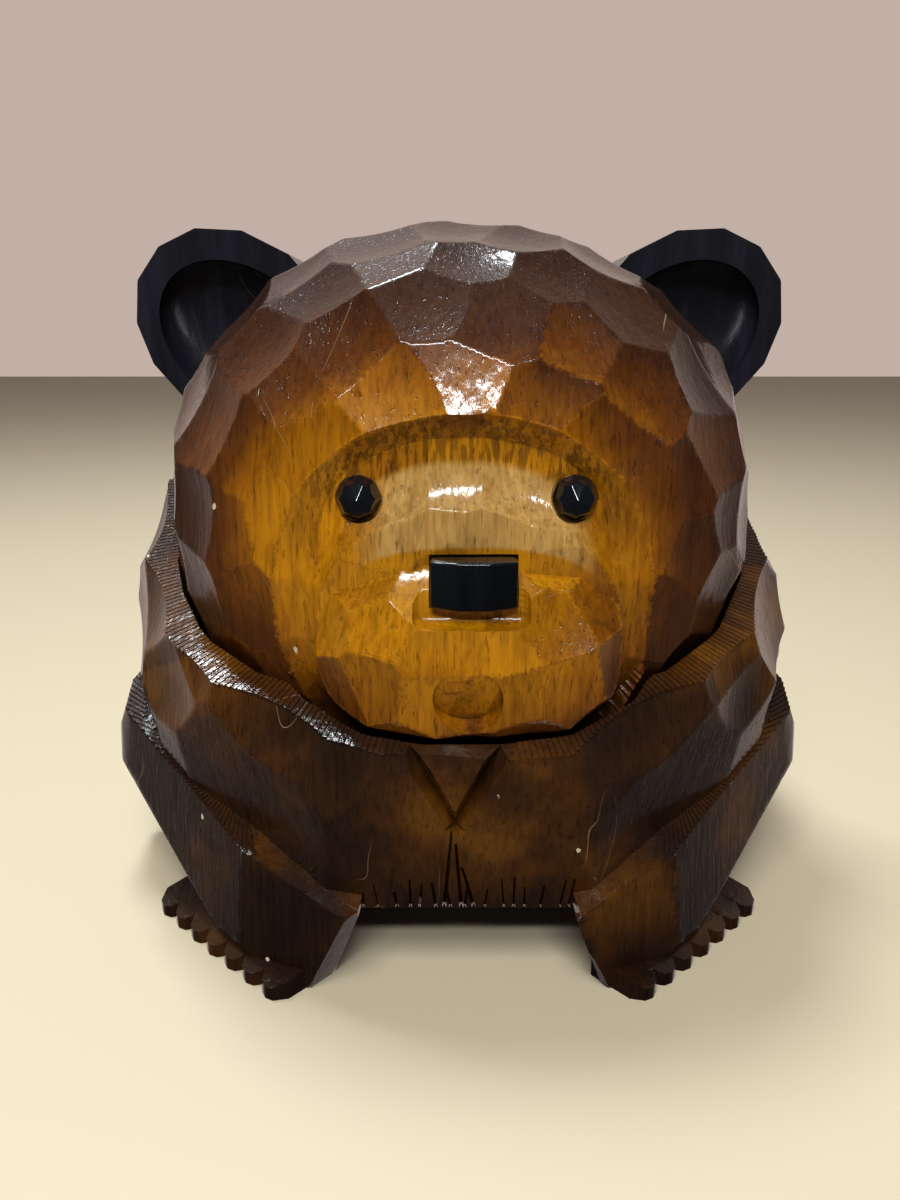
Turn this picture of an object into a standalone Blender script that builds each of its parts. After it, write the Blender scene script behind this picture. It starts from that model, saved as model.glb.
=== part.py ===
"""A hewn wooden bear: body on four legs, let-in head, glued ears, bead eyes and a nose block.

It looks along -Y and stands on z = 0. All sizes are in metres.
"""

import math
import random

import bmesh
import bpy
from mathutils import Matrix, Vector

# Torso: half sizes and middle of the rounded block that it is hewn from.
TORSO_HALF = Vector((0.0835, 0.0835, 0.0960))
TORSO_CENTRE = Vector((0.0, 0.0, 0.0550))
TORSO_POWERS = (2.06, 2.0)
TORSO_FACETS = 130
BELLY_HEIGHT = 0.018
HEM_INSET = 0.011
HEM_LEAN = 0.28

# Collar: the sloping plane that the torso's top is cut to, from its front edge.
COLLAR_INSET = 0.0035
COLLAR_FRONT_HEIGHT = 0.0615
COLLAR_SLOPE = 0.50

# Head: its seat below the collar, and how much of its underside is sawn off flat.
HEAD_HALF = Vector((0.0685, 0.0660, 0.0645))
HEAD_POWERS = (2.12, 2.8)
HEAD_FACETS = 150
HEAD_SEAT_DEPTH = 0.0135
HEAD_BASE_CUT = 0.0140
HEAD_MIDDLE_X = 0.0002
HEAD_FORWARD = 0.0080

# Snout mound: how far it stands out of the head's front, and its place from the head's middle.
SNOUT_HALF = Vector((0.0350, 0.0350, 0.0258))
SNOUT_POWERS = (2.0, 2.3)
SNOUT_FACETS = 60
SNOUT_PROUD = 0.0068
SNOUT_ASIDE = 0.0018
SNOUT_DROP = 0.0228

# Face band: the shallow channel over the snout, an arch in front view.
FACE_BAND_DEPTH = 0.0028
FACE_BAND_HALF_WIDTH = 0.043
FACE_BAND_ABOVE_EYES = 0.0159
FACE_BAND_ABOVE_BASE = 0.0070
FACE_BAND_STEPS = 12

# Legs: four corner blocks round the torso, and the gaps between them.
LEG_MIDDLE_HEIGHT = 0.030
LEG_SIDE_PROUD = 0.0050
LEG_CORNER_PROUD = -0.0005
LEG_CORNER_ANGLE = math.radians(46.5)
LEG_TOP_SLOPE = 0.62
LEG_GAP_MIDDLE_X = 0.0018
LEG_GAP_TOP_WIDTH = 0.0475
LEG_GAP_FLOOR_WIDTH = 0.060
LEG_SIDE_GAP = 0.020
LEG_SIDE_GAP_LEAN = 0.12
LEG_CHAMFER_ASIDE = 0.0005
LEG_CHAMFER_INSET = 0.0100
LEG_CHAMFER_TURN = math.radians(48)
LEG_CHAMFER_LEAN = 0.44
LEG_TOP_INSET = 0.0035
TOE_LEDGE_HEIGHT = 0.0075
TOE_REACH = 0.0035
TOE_LEDGE_DEPTH = 0.014
TOE_LEDGE_NARROWING = 0.004
TOES = 6
TOE_WIDTH = 0.0087
TOE_NOTCH_DEPTH = 0.0030
TOE_NOTCH_WIDTH = 0.0030

# Ears: half discs glued and pegged to the head.
EAR_BASE_LENGTH = 0.0440
EAR_HEIGHT = 0.0250
EAR_THICKNESS = 0.0200
EAR_TILT = math.radians(39.5)
EAR_SETBACK = 0.0040
EAR_RIM = 0.0055
EAR_HOLLOW_DEPTH = 0.0085
EAR_ROOT_DEPTH = 0.012
EAR_RIM_FACETS = 9
EAR_RIM_OVERLAP = math.radians(8)
EAR_FRONT_LEAN = 0.10
EAR_BACK_LEAN = 0.25
EAR_SHOULDER_LEAN = 0.9
EAR_SHOULDER_SHARE = 0.45

# Eyes: domed beads with a shank, in drilled recesses.
EYE_RADIUS = 0.0045
EYE_DOME = 0.0027
EYE_SHANK_RADIUS = 0.0012
EYE_SHANK_LENGTH = 0.0080
EYE_EDGE = 0.0006
EYE_STEPS = 6
EYE_SPACING = 0.0424
EYE_RISE = 0.0101
EYE_SINK = 0.0004
EYE_RECESS_WALL = 0.0004
EYE_MIDDLE_X = 0.0013

# Nose block, its shallow recess and its socket.
NOSE_SIZE = Vector((0.0168, 0.0090, 0.0095))
NOSE_ASIDE = 0.0006
NOSE_BELOW_SNOUT_TOP = 0.0083
NOSE_INSET = 0.0008
NOSE_RECESS_SIDE = 0.0035
NOSE_RECESS_BELOW = 0.0030
NOSE_RECESS_DEPTH = 0.0030
NOSE_EDGE = 0.0008

# Mouth gouge and the V cut on the chest.
MOUTH_RADIUS = 0.0072
MOUTH_FLATNESS = 0.55
MOUTH_ASIDE = 0.0005
MOUTH_INSET = 0.0018
MOUTH_DROP = 0.0089
V_MIDDLE_X = -0.0010
V_TOP_HALF_WIDTH = 0.0085
V_BELOW_COLLAR = 0.0015
V_HEIGHT = 0.0185
V_CUT_WIDTH = 0.0024
V_CUT_DEPTH = 0.0022

# Dowels.
NECK_DOWEL_RADIUS = 0.0080
NECK_DOWEL_LENGTH = 0.0320
EAR_PEG_RADIUS = 0.0030
EAR_PEG_LENGTH = 0.0180
EAR_PEG_SETBACK = 0.0040

# Clearances.
FIT_GAP = 0.0003
HEAD_SEAT_GAP = 0.0022
OVERCUT = 0.010
ROUND_SEGMENTS = 32
BLANK_SIZE = 0.4
SMALLEST_EDGE = 0.0003

# Places that follow from the sizes above.
TORSO_FRONT_Y = TORSO_CENTRE.y - TORSO_HALF.y
HEM_Y = TORSO_HALF.y - HEM_INSET
HEAD_BASE_HEIGHT = COLLAR_FRONT_HEIGHT - HEAD_SEAT_DEPTH
HEAD_CENTRE = Vector(
    (HEAD_MIDDLE_X, TORSO_CENTRE.y - HEAD_FORWARD, HEAD_BASE_HEIGHT + HEAD_HALF.z - HEAD_BASE_CUT)
)
SNOUT_FRONT_Y = HEAD_CENTRE.y - HEAD_HALF.y - SNOUT_PROUD
SNOUT_CENTRE = Vector(
    (HEAD_CENTRE.x + SNOUT_ASIDE, SNOUT_FRONT_Y + SNOUT_HALF.y, HEAD_CENTRE.z - SNOUT_DROP)
)
EYE_HEIGHT = HEAD_CENTRE.z + EYE_RISE
NOSE_FRONT_Y = SNOUT_FRONT_Y + NOSE_INSET
NOSE_CENTRE_X = SNOUT_CENTRE.x + NOSE_ASIDE
NOSE_CENTRE_Z = SNOUT_CENTRE.z + SNOUT_HALF.z - NOSE_BELOW_SNOUT_TOP
MOUTH_CENTRE = Vector(
    (SNOUT_CENTRE.x - MOUTH_ASIDE, SNOUT_FRONT_Y + MOUTH_INSET, SNOUT_CENTRE.z - MOUTH_DROP)
)
V_TOP_HEIGHT = COLLAR_FRONT_HEIGHT - V_BELOW_COLLAR
V_APEX_HEIGHT = V_TOP_HEIGHT - V_HEIGHT


def clear_scene():
    for obj in list(bpy.data.objects):
        bpy.data.objects.remove(obj, do_unlink=True)


def make_material(name, colour, roughness, coat):
    material = bpy.data.materials.new(name)
    material.use_nodes = True
    shader = material.node_tree.nodes["Principled BSDF"]
    shader.inputs["Base Color"].default_value = (*colour, 1)
    shader.inputs["Roughness"].default_value = roughness
    shader.inputs["Metallic"].default_value = 0
    shader.inputs["Coat Weight"].default_value = coat
    material.diffuse_color = (*colour, 1)
    return material


def add_object(name, bm, material=None):
    """Makes an object from a bmesh. Without a material it is a cutter or a shape to join."""
    bmesh.ops.recalc_face_normals(bm, faces=bm.faces)
    mesh = bpy.data.meshes.new(name)
    bm.to_mesh(mesh)
    bm.free()
    obj = bpy.data.objects.new(name, mesh)
    bpy.context.scene.collection.objects.link(obj)
    if material:
        mesh.materials.append(material)
    else:
        obj.hide_render = True
        obj.display_type = "WIRE"
    return obj


def combine(obj, other, operation):
    modifier = obj.modifiers.new(f"{operation.lower()} {other.name}", "BOOLEAN")
    modifier.operation = operation
    modifier.object = other
    modifier.solver = "EXACT"


def cut(obj, cutter):
    combine(obj, cutter, "DIFFERENCE")


def join(obj, other):
    combine(obj, other, "UNION")


def even_directions(count, seed, scatter):
    """Directions spread evenly over a sphere, each moved a little, as hand cuts are."""
    draw = random.Random(seed)
    golden = math.pi * (3 - math.sqrt(5))
    for i in range(count):
        height = 1 - 2 * (i + 0.5) / count
        ring = math.sqrt(1 - height * height)
        angle = i * golden
        direction = Vector((ring * math.cos(angle), height, ring * math.sin(angle)))
        direction += scatter * Vector([draw.uniform(-1, 1) for _ in range(3)])
        yield direction.normalized()


def rounded_plane(direction, half, powers, axis):
    """The point and normal where a ray meets a rounded block that is round about one axis.

    powers are those of the round section and of the profile along the axis: 2 is an ellipsoid,
    and more is boxier.
    """
    across, along = powers
    shares = [abs(direction[k]) / half[k] for k in range(3)]
    section = sum(shares[k] ** across for k in range(3) if k != axis)
    size = (section ** (along / across) + shares[axis] ** along) ** (1 / along)
    point = direction / size
    normal = Vector()
    for k in range(3):
        share = abs(point[k]) / half[k]
        if k == axis:
            slope = share ** (along - 1)
        else:
            slope = (section / size**across) ** (along / across - 1) * share ** (across - 1)
        normal[k] = math.copysign(slope / half[k], direction[k])
    return point, normal.normalized()


def hewn_planes(centre, half, powers, axis, facets, seed, offset=0.0, scatter=0.05):
    """Planes of the chisel cuts round a rounded block, moved outwards by offset."""
    planes = []
    for direction in even_directions(facets, seed, scatter):
        point, normal = rounded_plane(direction, half, powers, axis)
        planes.append((centre + point + normal * offset, normal))
    return planes


def block_of_planes(planes):
    """A convex solid: a large blank with everything outside each plane sawn off."""
    bm = bmesh.new()
    bmesh.ops.create_cube(bm, size=BLANK_SIZE)
    for point, normal in planes:
        parts = bm.verts[:] + bm.edges[:] + bm.faces[:]
        sawn = bmesh.ops.bisect_plane(
            bm, geom=parts, dist=1e-7, plane_co=point, plane_no=normal, clear_outer=True
        )
        edges = [e for e in sawn["geom_cut"] if isinstance(e, bmesh.types.BMEdge)]
        if edges:
            bmesh.ops.edgeloop_fill(bm, edges=edges)
    bmesh.ops.remove_doubles(bm, verts=bm.verts, dist=SMALLEST_EDGE)
    bmesh.ops.dissolve_degenerate(bm, edges=bm.edges, dist=SMALLEST_EDGE / 3)
    return bm


def box(low, high):
    bm = bmesh.new()
    bmesh.ops.create_cube(bm, size=1)
    size = Vector(high) - Vector(low)
    bmesh.ops.scale(bm, vec=size, verts=bm.verts)
    bmesh.ops.translate(bm, vec=(Vector(high) + Vector(low)) / 2, verts=bm.verts)
    return bm


def rod(radius, start, end):
    """A solid cylinder between two points."""
    along = Vector(end) - Vector(start)
    turn = along.to_track_quat("Z", "Y").to_matrix().to_4x4()
    place = Matrix.Translation((Vector(start) + Vector(end)) / 2) @ turn
    bm = bmesh.new()
    bmesh.ops.create_cone(
        bm,
        cap_ends=True,
        segments=ROUND_SEGMENTS,
        radius1=radius,
        radius2=radius,
        depth=along.length,
        matrix=place,
    )
    return bm


def ball(centre, half):
    bm = bmesh.new()
    place = Matrix.Translation(centre) @ Matrix.Diagonal((*half, 1))
    bmesh.ops.create_uvsphere(bm, u_segments=32, v_segments=16, radius=1, matrix=place)
    return bm


def prism(outline, low, high, place):
    """An outline in the local XY plane, drawn out along local Z from low to high."""
    bm = bmesh.new()
    bottom = [bm.verts.new(place @ Vector((x, y, low))) for x, y in outline]
    top = [bm.verts.new(place @ Vector((x, y, high))) for x, y in outline]
    bm.faces.new(bottom)
    bm.faces.new(top)
    for i in range(len(outline)):
        j = (i + 1) % len(outline)
        bm.faces.new((bottom[i], bottom[j], top[j], top[i]))
    return bm


def head_planes(offset=0.0):
    return hewn_planes(HEAD_CENTRE, HEAD_HALF, HEAD_POWERS, 1, HEAD_FACETS, 4, offset)


def snout_planes(offset=0.0):
    return hewn_planes(SNOUT_CENTRE, SNOUT_HALF, SNOUT_POWERS, 1, SNOUT_FACETS, 9, offset)


def collar_plane():
    normal = Vector((0, -COLLAR_SLOPE, 1)).normalized()
    return Vector((0, TORSO_FRONT_Y + COLLAR_INSET, COLLAR_FRONT_HEIGHT)), normal


def leg_corner_reach():
    """How far a leg's corner face is from the middle of the body."""
    angle = LEG_CORNER_ANGLE
    torso = math.hypot(TORSO_HALF.x * math.cos(angle), TORSO_HALF.y * math.sin(angle))
    return torso + LEG_CORNER_PROUD


def leg_facets():
    """Each chisel cut on a leg: its turn from the side to the end, its tilt up, and its reach."""
    side = TORSO_HALF.x + LEG_SIDE_PROUD
    corner = leg_corner_reach()
    return (
        (LEG_CORNER_ANGLE, math.radians(4), corner),
        (LEG_CORNER_ANGLE, math.radians(-28), corner - 0.0016),
        (LEG_CORNER_ANGLE, math.radians(24), corner + 0.0012),
        (0, math.radians(3), side),
        (math.radians(12), math.radians(-40), side - 0.0098),
        (math.radians(-18), math.radians(-34), side - 0.0060),
        (math.radians(14), math.radians(20), side + 0.0019),
        (math.radians(24), math.radians(4), side + 0.0035),
        (math.radians(-12), math.radians(4), side - 0.0005),
        (math.radians(70), math.radians(5), corner + 0.0010),
    )


def leg_planes(side, end):
    """One leg: side is -1 or 1 in X, and end is -1 for a front leg and 1 for a hind leg."""
    middle = Vector((0, 0, LEG_MIDDLE_HEIGHT))
    planes = []
    for turn, tilt, reach in leg_facets():
        level = math.cos(tilt)
        normal = Vector((side * level * math.cos(turn), end * level * math.sin(turn), math.sin(tilt)))
        planes.append((middle + normal * reach, normal))
    inner_lean = (LEG_GAP_FLOOR_WIDTH - LEG_GAP_TOP_WIDTH) / 2 / BELLY_HEIGHT
    inner = Vector((LEG_GAP_MIDDLE_X + side * LEG_GAP_FLOOR_WIDTH / 2, 0, 0))
    planes.append((inner, Vector((-side, 0, -inner_lean)).normalized()))
    aside = LEG_GAP_FLOOR_WIDTH / 2 + LEG_CHAMFER_ASIDE
    corner = Vector((side * aside, end * (TORSO_HALF.y - LEG_CHAMFER_INSET), 0))
    turn = LEG_CHAMFER_TURN
    inwards = Vector((-side * math.sin(turn), end * math.cos(turn), -LEG_CHAMFER_LEAN))
    planes.append((corner, inwards.normalized()))
    top = Vector((0, end * (TORSO_HALF.y - LEG_TOP_INSET), BELLY_HEIGHT))
    planes.append((top, Vector((0, end * LEG_TOP_SLOPE, 1)).normalized()))
    between = Vector((0, end * LEG_SIDE_GAP / 2, 0))
    planes.append((between, Vector((0, -end, -LEG_SIDE_GAP_LEAN)).normalized()))
    planes.append((Vector(), Vector((0, 0, -1))))
    return planes


def toe_ledge(side, end):
    """The toes under one leg: a low block along its outer corner, notched between toes."""
    half = TOES * TOE_WIDTH / 2
    turn = math.atan2(end * math.sin(LEG_CORNER_ANGLE), side * math.cos(LEG_CORNER_ANGLE))
    reach = leg_corner_reach() + TOE_REACH
    root = reach - TOE_LEDGE_DEPTH
    root_half = half - TOE_LEDGE_NARROWING
    outline = [(root, -root_half), (root, root_half)]
    for toe in range(TOES, 0, -1):
        right = -half + toe * TOE_WIDTH
        left = right - TOE_WIDTH
        outline.append((reach, right - TOE_NOTCH_WIDTH / 2))
        outline.append((reach, left + TOE_NOTCH_WIDTH / 2))
        if toe > 1:
            outline.append((reach - TOE_NOTCH_DEPTH, left))
    place = Matrix.Rotation(turn, 4, "Z")
    return prism(outline, 0, TOE_LEDGE_HEIGHT, place)


def hem_front(height):
    """How far forward the flat above the belly hem is at a height."""
    return -(HEM_Y + HEM_LEAN * (height - BELLY_HEIGHT))


def v_cut(name, side):
    """One stroke of the V on the chest, as a groove with slanting walls."""
    apex = Vector((V_MIDDLE_X, hem_front(V_APEX_HEIGHT), V_APEX_HEIGHT))
    top = Vector((V_MIDDLE_X + side * V_TOP_HALF_WIDTH, TORSO_FRONT_Y, V_TOP_HEIGHT))
    along = (top - apex).normalized()
    across = Vector((0, 1, 0)).cross(along).normalized()
    turn = Matrix((across, along.cross(across), along)).transposed().to_4x4()
    outline = [(-V_CUT_WIDTH / 2, -OVERCUT), (V_CUT_WIDTH / 2, -OVERCUT)]
    outline += [(V_CUT_WIDTH / 2, 0), (0, V_CUT_DEPTH), (-V_CUT_WIDTH / 2, 0)]
    length = (top - apex).length + OVERCUT
    return add_object(name, prism(outline, 0, length, Matrix.Translation(apex) @ turn))


def neck_dowel_ends():
    middle = Vector((HEAD_CENTRE.x, HEAD_CENTRE.y, HEAD_BASE_HEIGHT))
    half = Vector((0, 0, NECK_DOWEL_LENGTH / 2))
    return middle - half, middle + half


def build_body(wood):
    planes = hewn_planes(TORSO_CENTRE, TORSO_HALF, TORSO_POWERS, 2, TORSO_FACETS, 12)
    for end in (-1, 1):
        hem = Vector((0, end * HEM_Y, BELLY_HEIGHT))
        planes.append((hem, Vector((0, end, -HEM_LEAN)).normalized()))
    planes.append((Vector((0, 0, BELLY_HEIGHT)), Vector((0, 0, -1))))
    planes.append(collar_plane())
    body = add_object("body", block_of_planes(planes), wood)
    for end, end_name in ((-1, "front"), (1, "hind")):
        for side, side_name in ((-1, "left"), (1, "right")):
            leg = add_object(f"{end_name}_{side_name}_leg", block_of_planes(leg_planes(side, end)))
            toes = add_object(f"{end_name}_{side_name}_toes", toe_ledge(side, end))
            join(body, leg)
            join(body, toes)
    seat = head_planes(HEAD_SEAT_GAP)
    seat.append((Vector((0, 0, HEAD_BASE_HEIGHT - FIT_GAP)), Vector((0, 0, -1))))
    cut(body, add_object("head_seat_cutter", block_of_planes(seat)))
    chin = snout_planes(HEAD_SEAT_GAP)
    chin.append((Vector((0, 0, HEAD_BASE_HEIGHT - FIT_GAP)), Vector((0, 0, -1))))
    cut(body, add_object("chin_seat_cutter", block_of_planes(chin)))
    low, high = neck_dowel_ends()
    low = low - Vector((0, 0, FIT_GAP))
    cut(body, add_object("body_dowel_bore", rod(NECK_DOWEL_RADIUS + FIT_GAP, low, high)))
    for side, side_name in ((-1, "left"), (1, "right")):
        cut(body, v_cut(f"v_cut_{side_name}", side))
    return body


def face_band_cutter():
    """The shallow channel over the snout: an arch in front view, down to a smaller head."""
    bottom = HEAD_BASE_HEIGHT + FACE_BAND_ABOVE_BASE
    rise = EYE_HEIGHT + FACE_BAND_ABOVE_EYES - bottom
    arch = []
    for step in range(FACE_BAND_STEPS + 1):
        angle = math.pi * step / FACE_BAND_STEPS
        arch.append((FACE_BAND_HALF_WIDTH * math.cos(angle), rise * math.sin(angle)))
    origin = Vector((HEAD_CENTRE.x, HEAD_CENTRE.y, bottom))
    place = Matrix.Translation(origin) @ Matrix.Rotation(math.pi / 2, 4, "X")
    front = HEAD_HALF.y + OVERCUT
    cutter = add_object("face_band_cutter", prism(arch, HEAD_HALF.y / 3, front, place))
    core = add_object("face_core", block_of_planes(head_planes(-FACE_BAND_DEPTH)))
    cut(cutter, core)
    return cutter


def nose_box(grow, depth):
    """The corners of a box round the nose block, grown sideways and down by the given shares."""
    side, below = grow
    half = NOSE_SIZE.x / 2
    low = (NOSE_CENTRE_X - half - side, NOSE_FRONT_Y - OVERCUT, NOSE_CENTRE_Z - NOSE_SIZE.z / 2 - below)
    high = (NOSE_CENTRE_X + half + side, depth, NOSE_CENTRE_Z + NOSE_SIZE.z / 2 + min(side, FIT_GAP))
    return low, high


def eye_centre(side):
    """The middle of a bead's flat back, sunk a little below the face band's rounded surface."""
    x = EYE_MIDDLE_X + side * EYE_SPACING / 2
    across, along = HEAD_POWERS
    half = HEAD_HALF - Vector((1, 1, 1)) * FACE_BAND_DEPTH
    section = abs((x - HEAD_CENTRE.x) / half.x) ** across + abs(EYE_RISE / half.z) ** across
    front = HEAD_CENTRE.y - half.y * (1 - section ** (along / across)) ** (1 / along)
    return Vector((x, front + EYE_SINK, EYE_HEIGHT))


def ear_frame(side):
    """Local Z runs out of the head along the ear, X along its seat, and Y to its back."""
    outward = Vector((side * math.cos(EAR_TILT), 0, math.sin(EAR_TILT)))
    back = Vector((0, 1, 0))
    across = back.cross(outward)
    turn = Matrix((across, back, outward)).transposed().to_4x4()
    surface, _ = rounded_plane(outward, HEAD_HALF, HEAD_POWERS, 1)
    seat = HEAD_CENTRE + Vector((0, EAR_SETBACK, 0)) + surface
    return Matrix.Translation(seat) @ turn


def ear_peg_ends(side):
    frame = ear_frame(side)
    half = EAR_PEG_LENGTH / 2
    return frame @ Vector((0, EAR_PEG_SETBACK, -half)), frame @ Vector((0, EAR_PEG_SETBACK, half))


def build_head(wood):
    planes = head_planes()
    planes.append((Vector((0, 0, HEAD_BASE_HEIGHT)), Vector((0, 0, -1))))
    head = add_object("head", block_of_planes(planes), wood)
    cut(head, face_band_cutter())
    join(head, add_object("snout", block_of_planes(snout_planes())))
    recess_floor = NOSE_FRONT_Y + NOSE_RECESS_DEPTH
    low, high = nose_box((NOSE_RECESS_SIDE, NOSE_RECESS_BELOW), recess_floor)
    cut(head, add_object("nose_recess", box(low, high)))
    socket_floor = NOSE_FRONT_Y + NOSE_SIZE.y + FIT_GAP
    low, high = nose_box((FIT_GAP, FIT_GAP), socket_floor)
    cut(head, add_object("nose_socket", box(low, high)))
    mouth = Vector((MOUTH_RADIUS, MOUTH_RADIUS * MOUTH_FLATNESS, MOUTH_RADIUS))
    cut(head, add_object("mouth_gouge", ball(MOUTH_CENTRE, mouth)))
    low, high = neck_dowel_ends()
    high = high + Vector((0, 0, FIT_GAP))
    low = low - Vector((0, 0, OVERCUT))
    cut(head, add_object("head_dowel_bore", rod(NECK_DOWEL_RADIUS + FIT_GAP, low, high)))
    for side, name in ((-1, "left"), (1, "right")):
        centre = eye_centre(side)
        radius = EYE_RADIUS + EYE_RECESS_WALL
        mouth_of_bore = centre - Vector((0, OVERCUT, 0))
        floor = centre + Vector((0, FIT_GAP, 0))
        cut(head, add_object(f"eye_recess_{name}", rod(radius, mouth_of_bore, floor)))
        end = centre + Vector((0, EYE_SHANK_LENGTH + FIT_GAP, 0))
        bore = rod(EYE_SHANK_RADIUS + FIT_GAP, centre - Vector((0, EYE_DOME, 0)), end)
        cut(head, add_object(f"eye_shank_bore_{name}", bore))
        low, high = ear_peg_ends(side)
        low = low + (low - high).normalized() * FIT_GAP
        cut(head, add_object(f"head_ear_bore_{name}", rod(EAR_PEG_RADIUS + FIT_GAP, low, high)))
    return head


def build_ear(side, name, wood):
    frame = ear_frame(side)
    half = EAR_BASE_LENGTH / 2
    planes = []
    turn = math.pi + 2 * EAR_RIM_OVERLAP
    for step in range(EAR_RIM_FACETS):
        angle = turn * step / (EAR_RIM_FACETS - 1) - EAR_RIM_OVERLAP
        local = Vector((math.cos(angle) / half, 0, math.sin(angle) / EAR_HEIGHT)).normalized()
        reach = math.hypot(half * local.x, EAR_HEIGHT * local.z)
        planes.append((frame @ (local * reach), frame.to_3x3() @ local))
    front = Vector((0, -EAR_THICKNESS / 2, 0))
    planes.append((frame @ front, frame.to_3x3() @ Vector((0, -1, -EAR_FRONT_LEAN)).normalized()))
    back = Vector((0, EAR_THICKNESS / 2, 0))
    planes.append((frame @ back, frame.to_3x3() @ Vector((0, 1, EAR_BACK_LEAN)).normalized()))
    upper = Vector((0, EAR_THICKNESS / 2, EAR_HEIGHT * EAR_SHOULDER_SHARE))
    planes.append((frame @ upper, frame.to_3x3() @ Vector((0, 1, EAR_SHOULDER_LEAN)).normalized()))
    base = Vector((0, 0, -EAR_ROOT_DEPTH))
    planes.append((frame @ base, frame.to_3x3() @ Vector((0, 0, -1))))
    ear = add_object(f"ear_{name}", block_of_planes(planes), wood)
    hollow_half = Vector((half - EAR_RIM, EAR_HOLLOW_DEPTH, EAR_HEIGHT - EAR_RIM))
    hollow = ball((0, 0, 0), hollow_half)
    bmesh.ops.transform(hollow, matrix=frame @ Matrix.Translation(front), verts=hollow.verts)
    cut(ear, add_object(f"ear_hollow_{name}", hollow))
    cut(ear, add_object(f"ear_seat_cutter_{name}", block_of_planes(head_planes(FIT_GAP))))
    low, high = ear_peg_ends(side)
    high = high + (high - low).normalized() * FIT_GAP
    cut(ear, add_object(f"ear_bore_{name}", rod(EAR_PEG_RADIUS + FIT_GAP, low, high)))
    return ear


def build_peg(name, radius, ends, wood):
    low, high = ends
    return add_object(name, rod(radius, low, high), wood)


def build_eye(side, name, glass):
    """A bead turned round the Y axis: flat back, domed front and a thin shank behind."""
    profile = [(0, EYE_SHANK_LENGTH), (EYE_SHANK_RADIUS, EYE_SHANK_LENGTH), (EYE_SHANK_RADIUS, 0)]
    profile.append((EYE_RADIUS, 0))
    for step in range(EYE_STEPS):
        angle = math.pi / 2 * step / EYE_STEPS
        profile.append((EYE_RADIUS * math.cos(angle), -EYE_EDGE - EYE_DOME * math.sin(angle)))
    profile.append((0, -EYE_EDGE - EYE_DOME))
    bm = bmesh.new()
    verts = [bm.verts.new((x, y, 0)) for x, y in profile]
    edges = [bm.edges.new(pair) for pair in zip(verts, verts[1:])]
    bmesh.ops.spin(
        bm,
        geom=verts + edges,
        cent=(0, 0, 0),
        axis=(0, 1, 0),
        angle=math.tau,
        steps=ROUND_SEGMENTS,
        use_merge=True,
    )
    bmesh.ops.remove_doubles(bm, verts=bm.verts, dist=1e-6)
    bmesh.ops.translate(bm, vec=eye_centre(side), verts=bm.verts)
    eye = add_object(f"eye_{name}", bm, glass)
    eye.data.shade_smooth()
    return eye


def build_nose(lacquer):
    half = NOSE_SIZE.x / 2
    low = (NOSE_CENTRE_X - half, NOSE_FRONT_Y, NOSE_CENTRE_Z - NOSE_SIZE.z / 2)
    high = (NOSE_CENTRE_X + half, NOSE_FRONT_Y + NOSE_SIZE.y, NOSE_CENTRE_Z + NOSE_SIZE.z / 2)
    nose = add_object("nose", box(low, high), lacquer)
    edge = nose.modifiers.new("broken edges", "BEVEL")
    edge.width = NOSE_EDGE
    edge.segments = 2
    return nose


def main():
    clear_scene()
    brown = make_material("lacquered_wood", (0.10, 0.035, 0.012), 0.25, 0.8)
    amber = make_material("amber_wood", (0.42, 0.16, 0.02), 0.25, 0.8)
    black = make_material("black_lacquer", (0.006, 0.006, 0.009), 0.15, 1.0)
    bead = make_material("black_bead", (0.003, 0.003, 0.004), 0.05, 1.0)
    bare = make_material("bare_wood", (0.50, 0.33, 0.17), 0.6, 0.0)
    build_body(brown)
    build_head(amber)
    build_peg("neck_dowel", NECK_DOWEL_RADIUS, neck_dowel_ends(), bare)
    for side, name in ((-1, "left"), (1, "right")):
        build_ear(side, name, black)
        build_peg(f"ear_peg_{name}", EAR_PEG_RADIUS, ear_peg_ends(side), bare)
        build_eye(side, name, bead)
    build_nose(black)


main()
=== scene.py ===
"""The looks of the hewn wooden bear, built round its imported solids.

Metres, +Z up, and the bear looks along -Y. Each carved lump is a ball of small faces pushed out to
the chisel cuts, so that every cut is a shallow scoop with a crisp ridge round it.
"""

import random
from math import atan2, copysign, cos, hypot, pi, radians, sin, sqrt, tau

import bmesh
import bpy
import numpy as np
from mathutils import Matrix, Vector


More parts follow.
